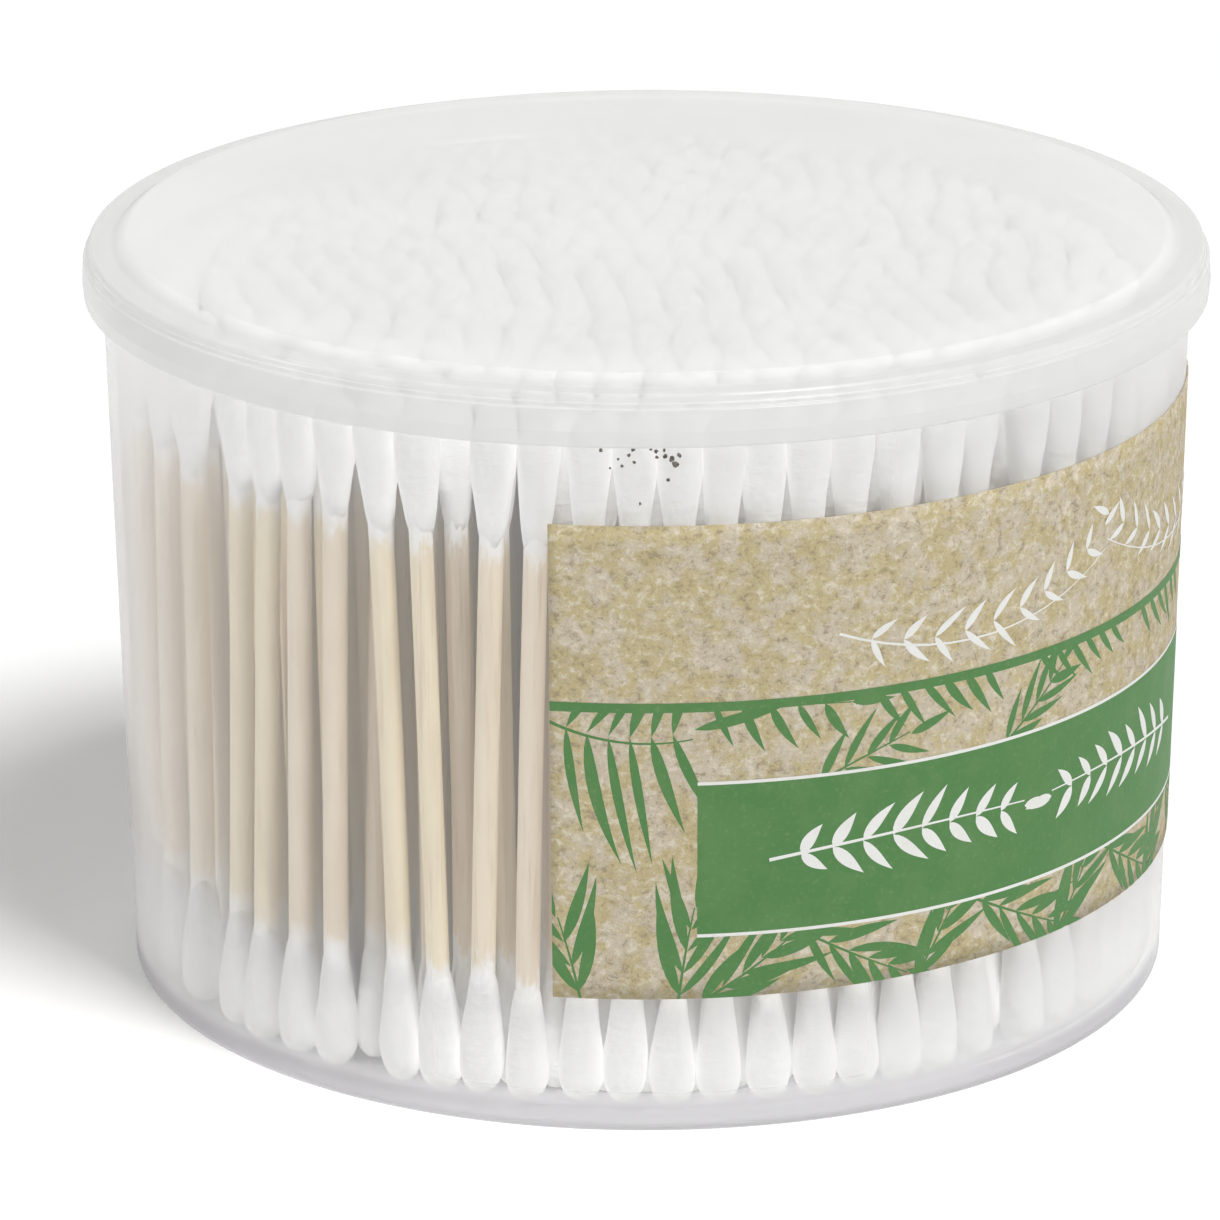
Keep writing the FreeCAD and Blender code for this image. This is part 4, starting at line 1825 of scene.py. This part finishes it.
@dataclass(frozen=True)
class Lamp:
    """Soft square lamp that points at the tub.

    Attributes:
        name: Name of the lamp.
        power: Its power, in watts.
        side: Length of its side, in metres.
        distance: How far it stands, in metres.
        azimuth_deg: Where it stands, from the front towards +X.
        elevation_deg: How high it stands.
        aim_height: Height of the point that it lights, in metres.
    """

    name: str
    power: float
    side: float
    distance: float
    azimuth_deg: float
    elevation_deg: float
    aim_height: float = 0.04

    def hang(self) -> bpy.types.Object:
        """Hangs the lamp.

        Returns:
            The lamp.
        """
        data = bpy.data.lights.new(self.name, "AREA")
        data.shape, data.size, data.energy = "SQUARE", self.side, self.power
        lamp = bpy.data.objects.new(self.name, data)
        turn, lift = math.radians(self.azimuth_deg), math.radians(self.elevation_deg)
        out, up = math.cos(lift), math.sin(lift)
        back = Vector((math.sin(turn) * out, -math.cos(turn) * out, up))
        lamp.location = back * self.distance + Vector((0, 0, self.aim_height))
        lamp.rotation_mode = "QUATERNION"
        lamp.rotation_quaternion = (-back).to_track_quat("-Z", "Y")
        bpy.context.scene.collection.objects.link(lamp)
        return lamp


@dataclass
class Studio:
    """White floor, soft light from the right, and a white surround.

    Attributes:
        floor_half: Half the floor's width, in metres.
        ambient: Light from all round.
        key: The main lamp, in front and to the right.
        fill: The low lamp on the left.
        floor_bounce: How much light the floor throws back.
        floor_seen: How pale the floor is to the eye.
    """

    floor_half: float = 6.0
    ambient: float = 0.39
    key: Lamp = Lamp("key_lamp", 250.0, 1.7, 6.0, 41.0, 54.0)
    fill: Lamp = Lamp("fill_lamp", 4.5, 0.3, 1.5, -75.0, 7.0)
    floor_bounce: float = 0.74
    floor_seen: float = 1.12

    def lay_floor(self) -> bpy.types.Object:
        """Lays the floor.

        Returns:
            The floor.
        """
        half = self.floor_half / MM
        draft = PieceDraft()
        corners = [(-half, -half, 0), (half, -half, 0), (half, half, 0), (-half, half, 0)]
        draft.add(np.array(corners), [(0, 1, 2, 3)])
        material, desk, _ = new_material("studio_floor")
        white = desk.blend(desk.seen(), (self.floor_bounce,) * 3, (self.floor_seen,) * 3)
        desk.finish(desk.add("BsdfDiffuse", {"Color": white}).outputs[0])
        floor = draft.finish("studio_floor", [material])
        return floor

    def light_world(self) -> None:
        """Sets the light from all round, and the white that the camera sees."""
        world = bpy.data.worlds.new("studio_world")
        world.use_nodes = True
        desk = NodeDesk(world.node_tree)
        white = desk.blend(desk.seen(), (self.ambient,) * 3, (1.0, 1.0, 1.0))
        desk.add("OutputWorld", {"Surface": desk.add("Background", {"Color": white}).outputs[0]})
        world.cycles.sampling_method = "NONE"
        bpy.context.scene.world = world

    def build(self) -> None:
        """Sets up the floor, the light from all round and the two lamps."""
        scene = bpy.context.scene
        scene.view_settings.view_transform = "Standard"
        scene.cycles.transparent_max_bounces = 32
        scene.cycles.max_bounces = 6
        scene.cycles.diffuse_bounces = 4
        scene.cycles.glossy_bounces = 2
        scene.cycles.use_light_tree = False
        scene.cycles.caustics_reflective = False
        scene.cycles.caustics_refractive = False
        self.lay_floor()
        self.light_world()
        self.key.hang()
        self.fill.hang()


# Painted shade on the clear tub: its dark low colour darkens the base band, standing in for the
# shaded floor of the tub seen through the wall.
CLEAR = MouldedPlastic(
    grade=Grade.CLEAR, tint=(0.96, 0.955, 0.955), haze_facing=0.13, haze_grazing=0.86,
    haze_power=2.2, held_back=0.3, passes=0.97, low_milk=0.42, low_shade_tint=(0.62, 0.605, 0.63),
    low_from=0.0022, low_to=0.0050, glow=0.45, roughness=0.22)
# Painted shade on the lid: its darker low colour darkens the skirt, which is lit less than the top.
MILKY = MouldedPlastic(
    grade=Grade.MILKY, tint=(0.955, 0.955, 0.945), haze_facing=0.36, haze_grazing=0.63,
    haze_power=1.0, held_back=0.35, passes=0.90, low_milk=0.10, low_shade_tint=(0.84, 0.84, 0.835),
    low_from=0.0796, low_to=0.0803, glow=0.50, roughness=0.24)


def main() -> None:
    """Builds the studio and every piece in order, and reports each one."""
    logging.basicConfig(level=logging.INFO, format="%(message)s", force=True)
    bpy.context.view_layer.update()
    camera = StudioCamera()
    camera.build()
    Studio().build()
    tub = Tub(CLEAR)
    layout = SwabLayout(tub, camera)
    bamboo = Bamboo().build()
    # Painted light and shade: both materials are the same cotton. The outer row's is painted
    # darker, as it throws no shadow and gets more light, and the inner swabs' is painted lighter,
    # to brighten the shaded gaps between the tips.
    cotton = Cotton("outer_cotton_painted_darker", (0.955, 0.955, 0.95), (0.915, 0.91, 0.90), 0.28).build()
    inner_cotton_painted_lighter = Cotton("inner_cotton_painted_lighter", (0.985, 0.985, 0.975), (0.945, 0.94, 0.925), 0.0).build()
    places = layout.stand()
    outer = OuterRow(
        layout, places, first=0, count=layout.row_count, head_sides=20, head_rings=18,
        stick_sides=12, cotton=cotton, bamboo=bamboo, plump=1.09, room=layout.wall_gap - 0.02)
    inner = InnerSwabs(
        layout, places, first=layout.row_count, count=layout.inner_count, head_sides=12,
        head_rings=10, stick_sides=8, cotton=inner_cotton_painted_lighter, bamboo=bamboo)
    pieces = [tub.build(), Lid(MILKY).build(), Label(tub).build(), *outer.build(), *inner.build(),
              TapeTraces(tub, camera).build()]
    for piece in pieces:
        log.info("%s: %d faces", piece.name, len(piece.data.polygons))
    bpy.context.view_layer.update()


if __name__ == "__main__":
    main()
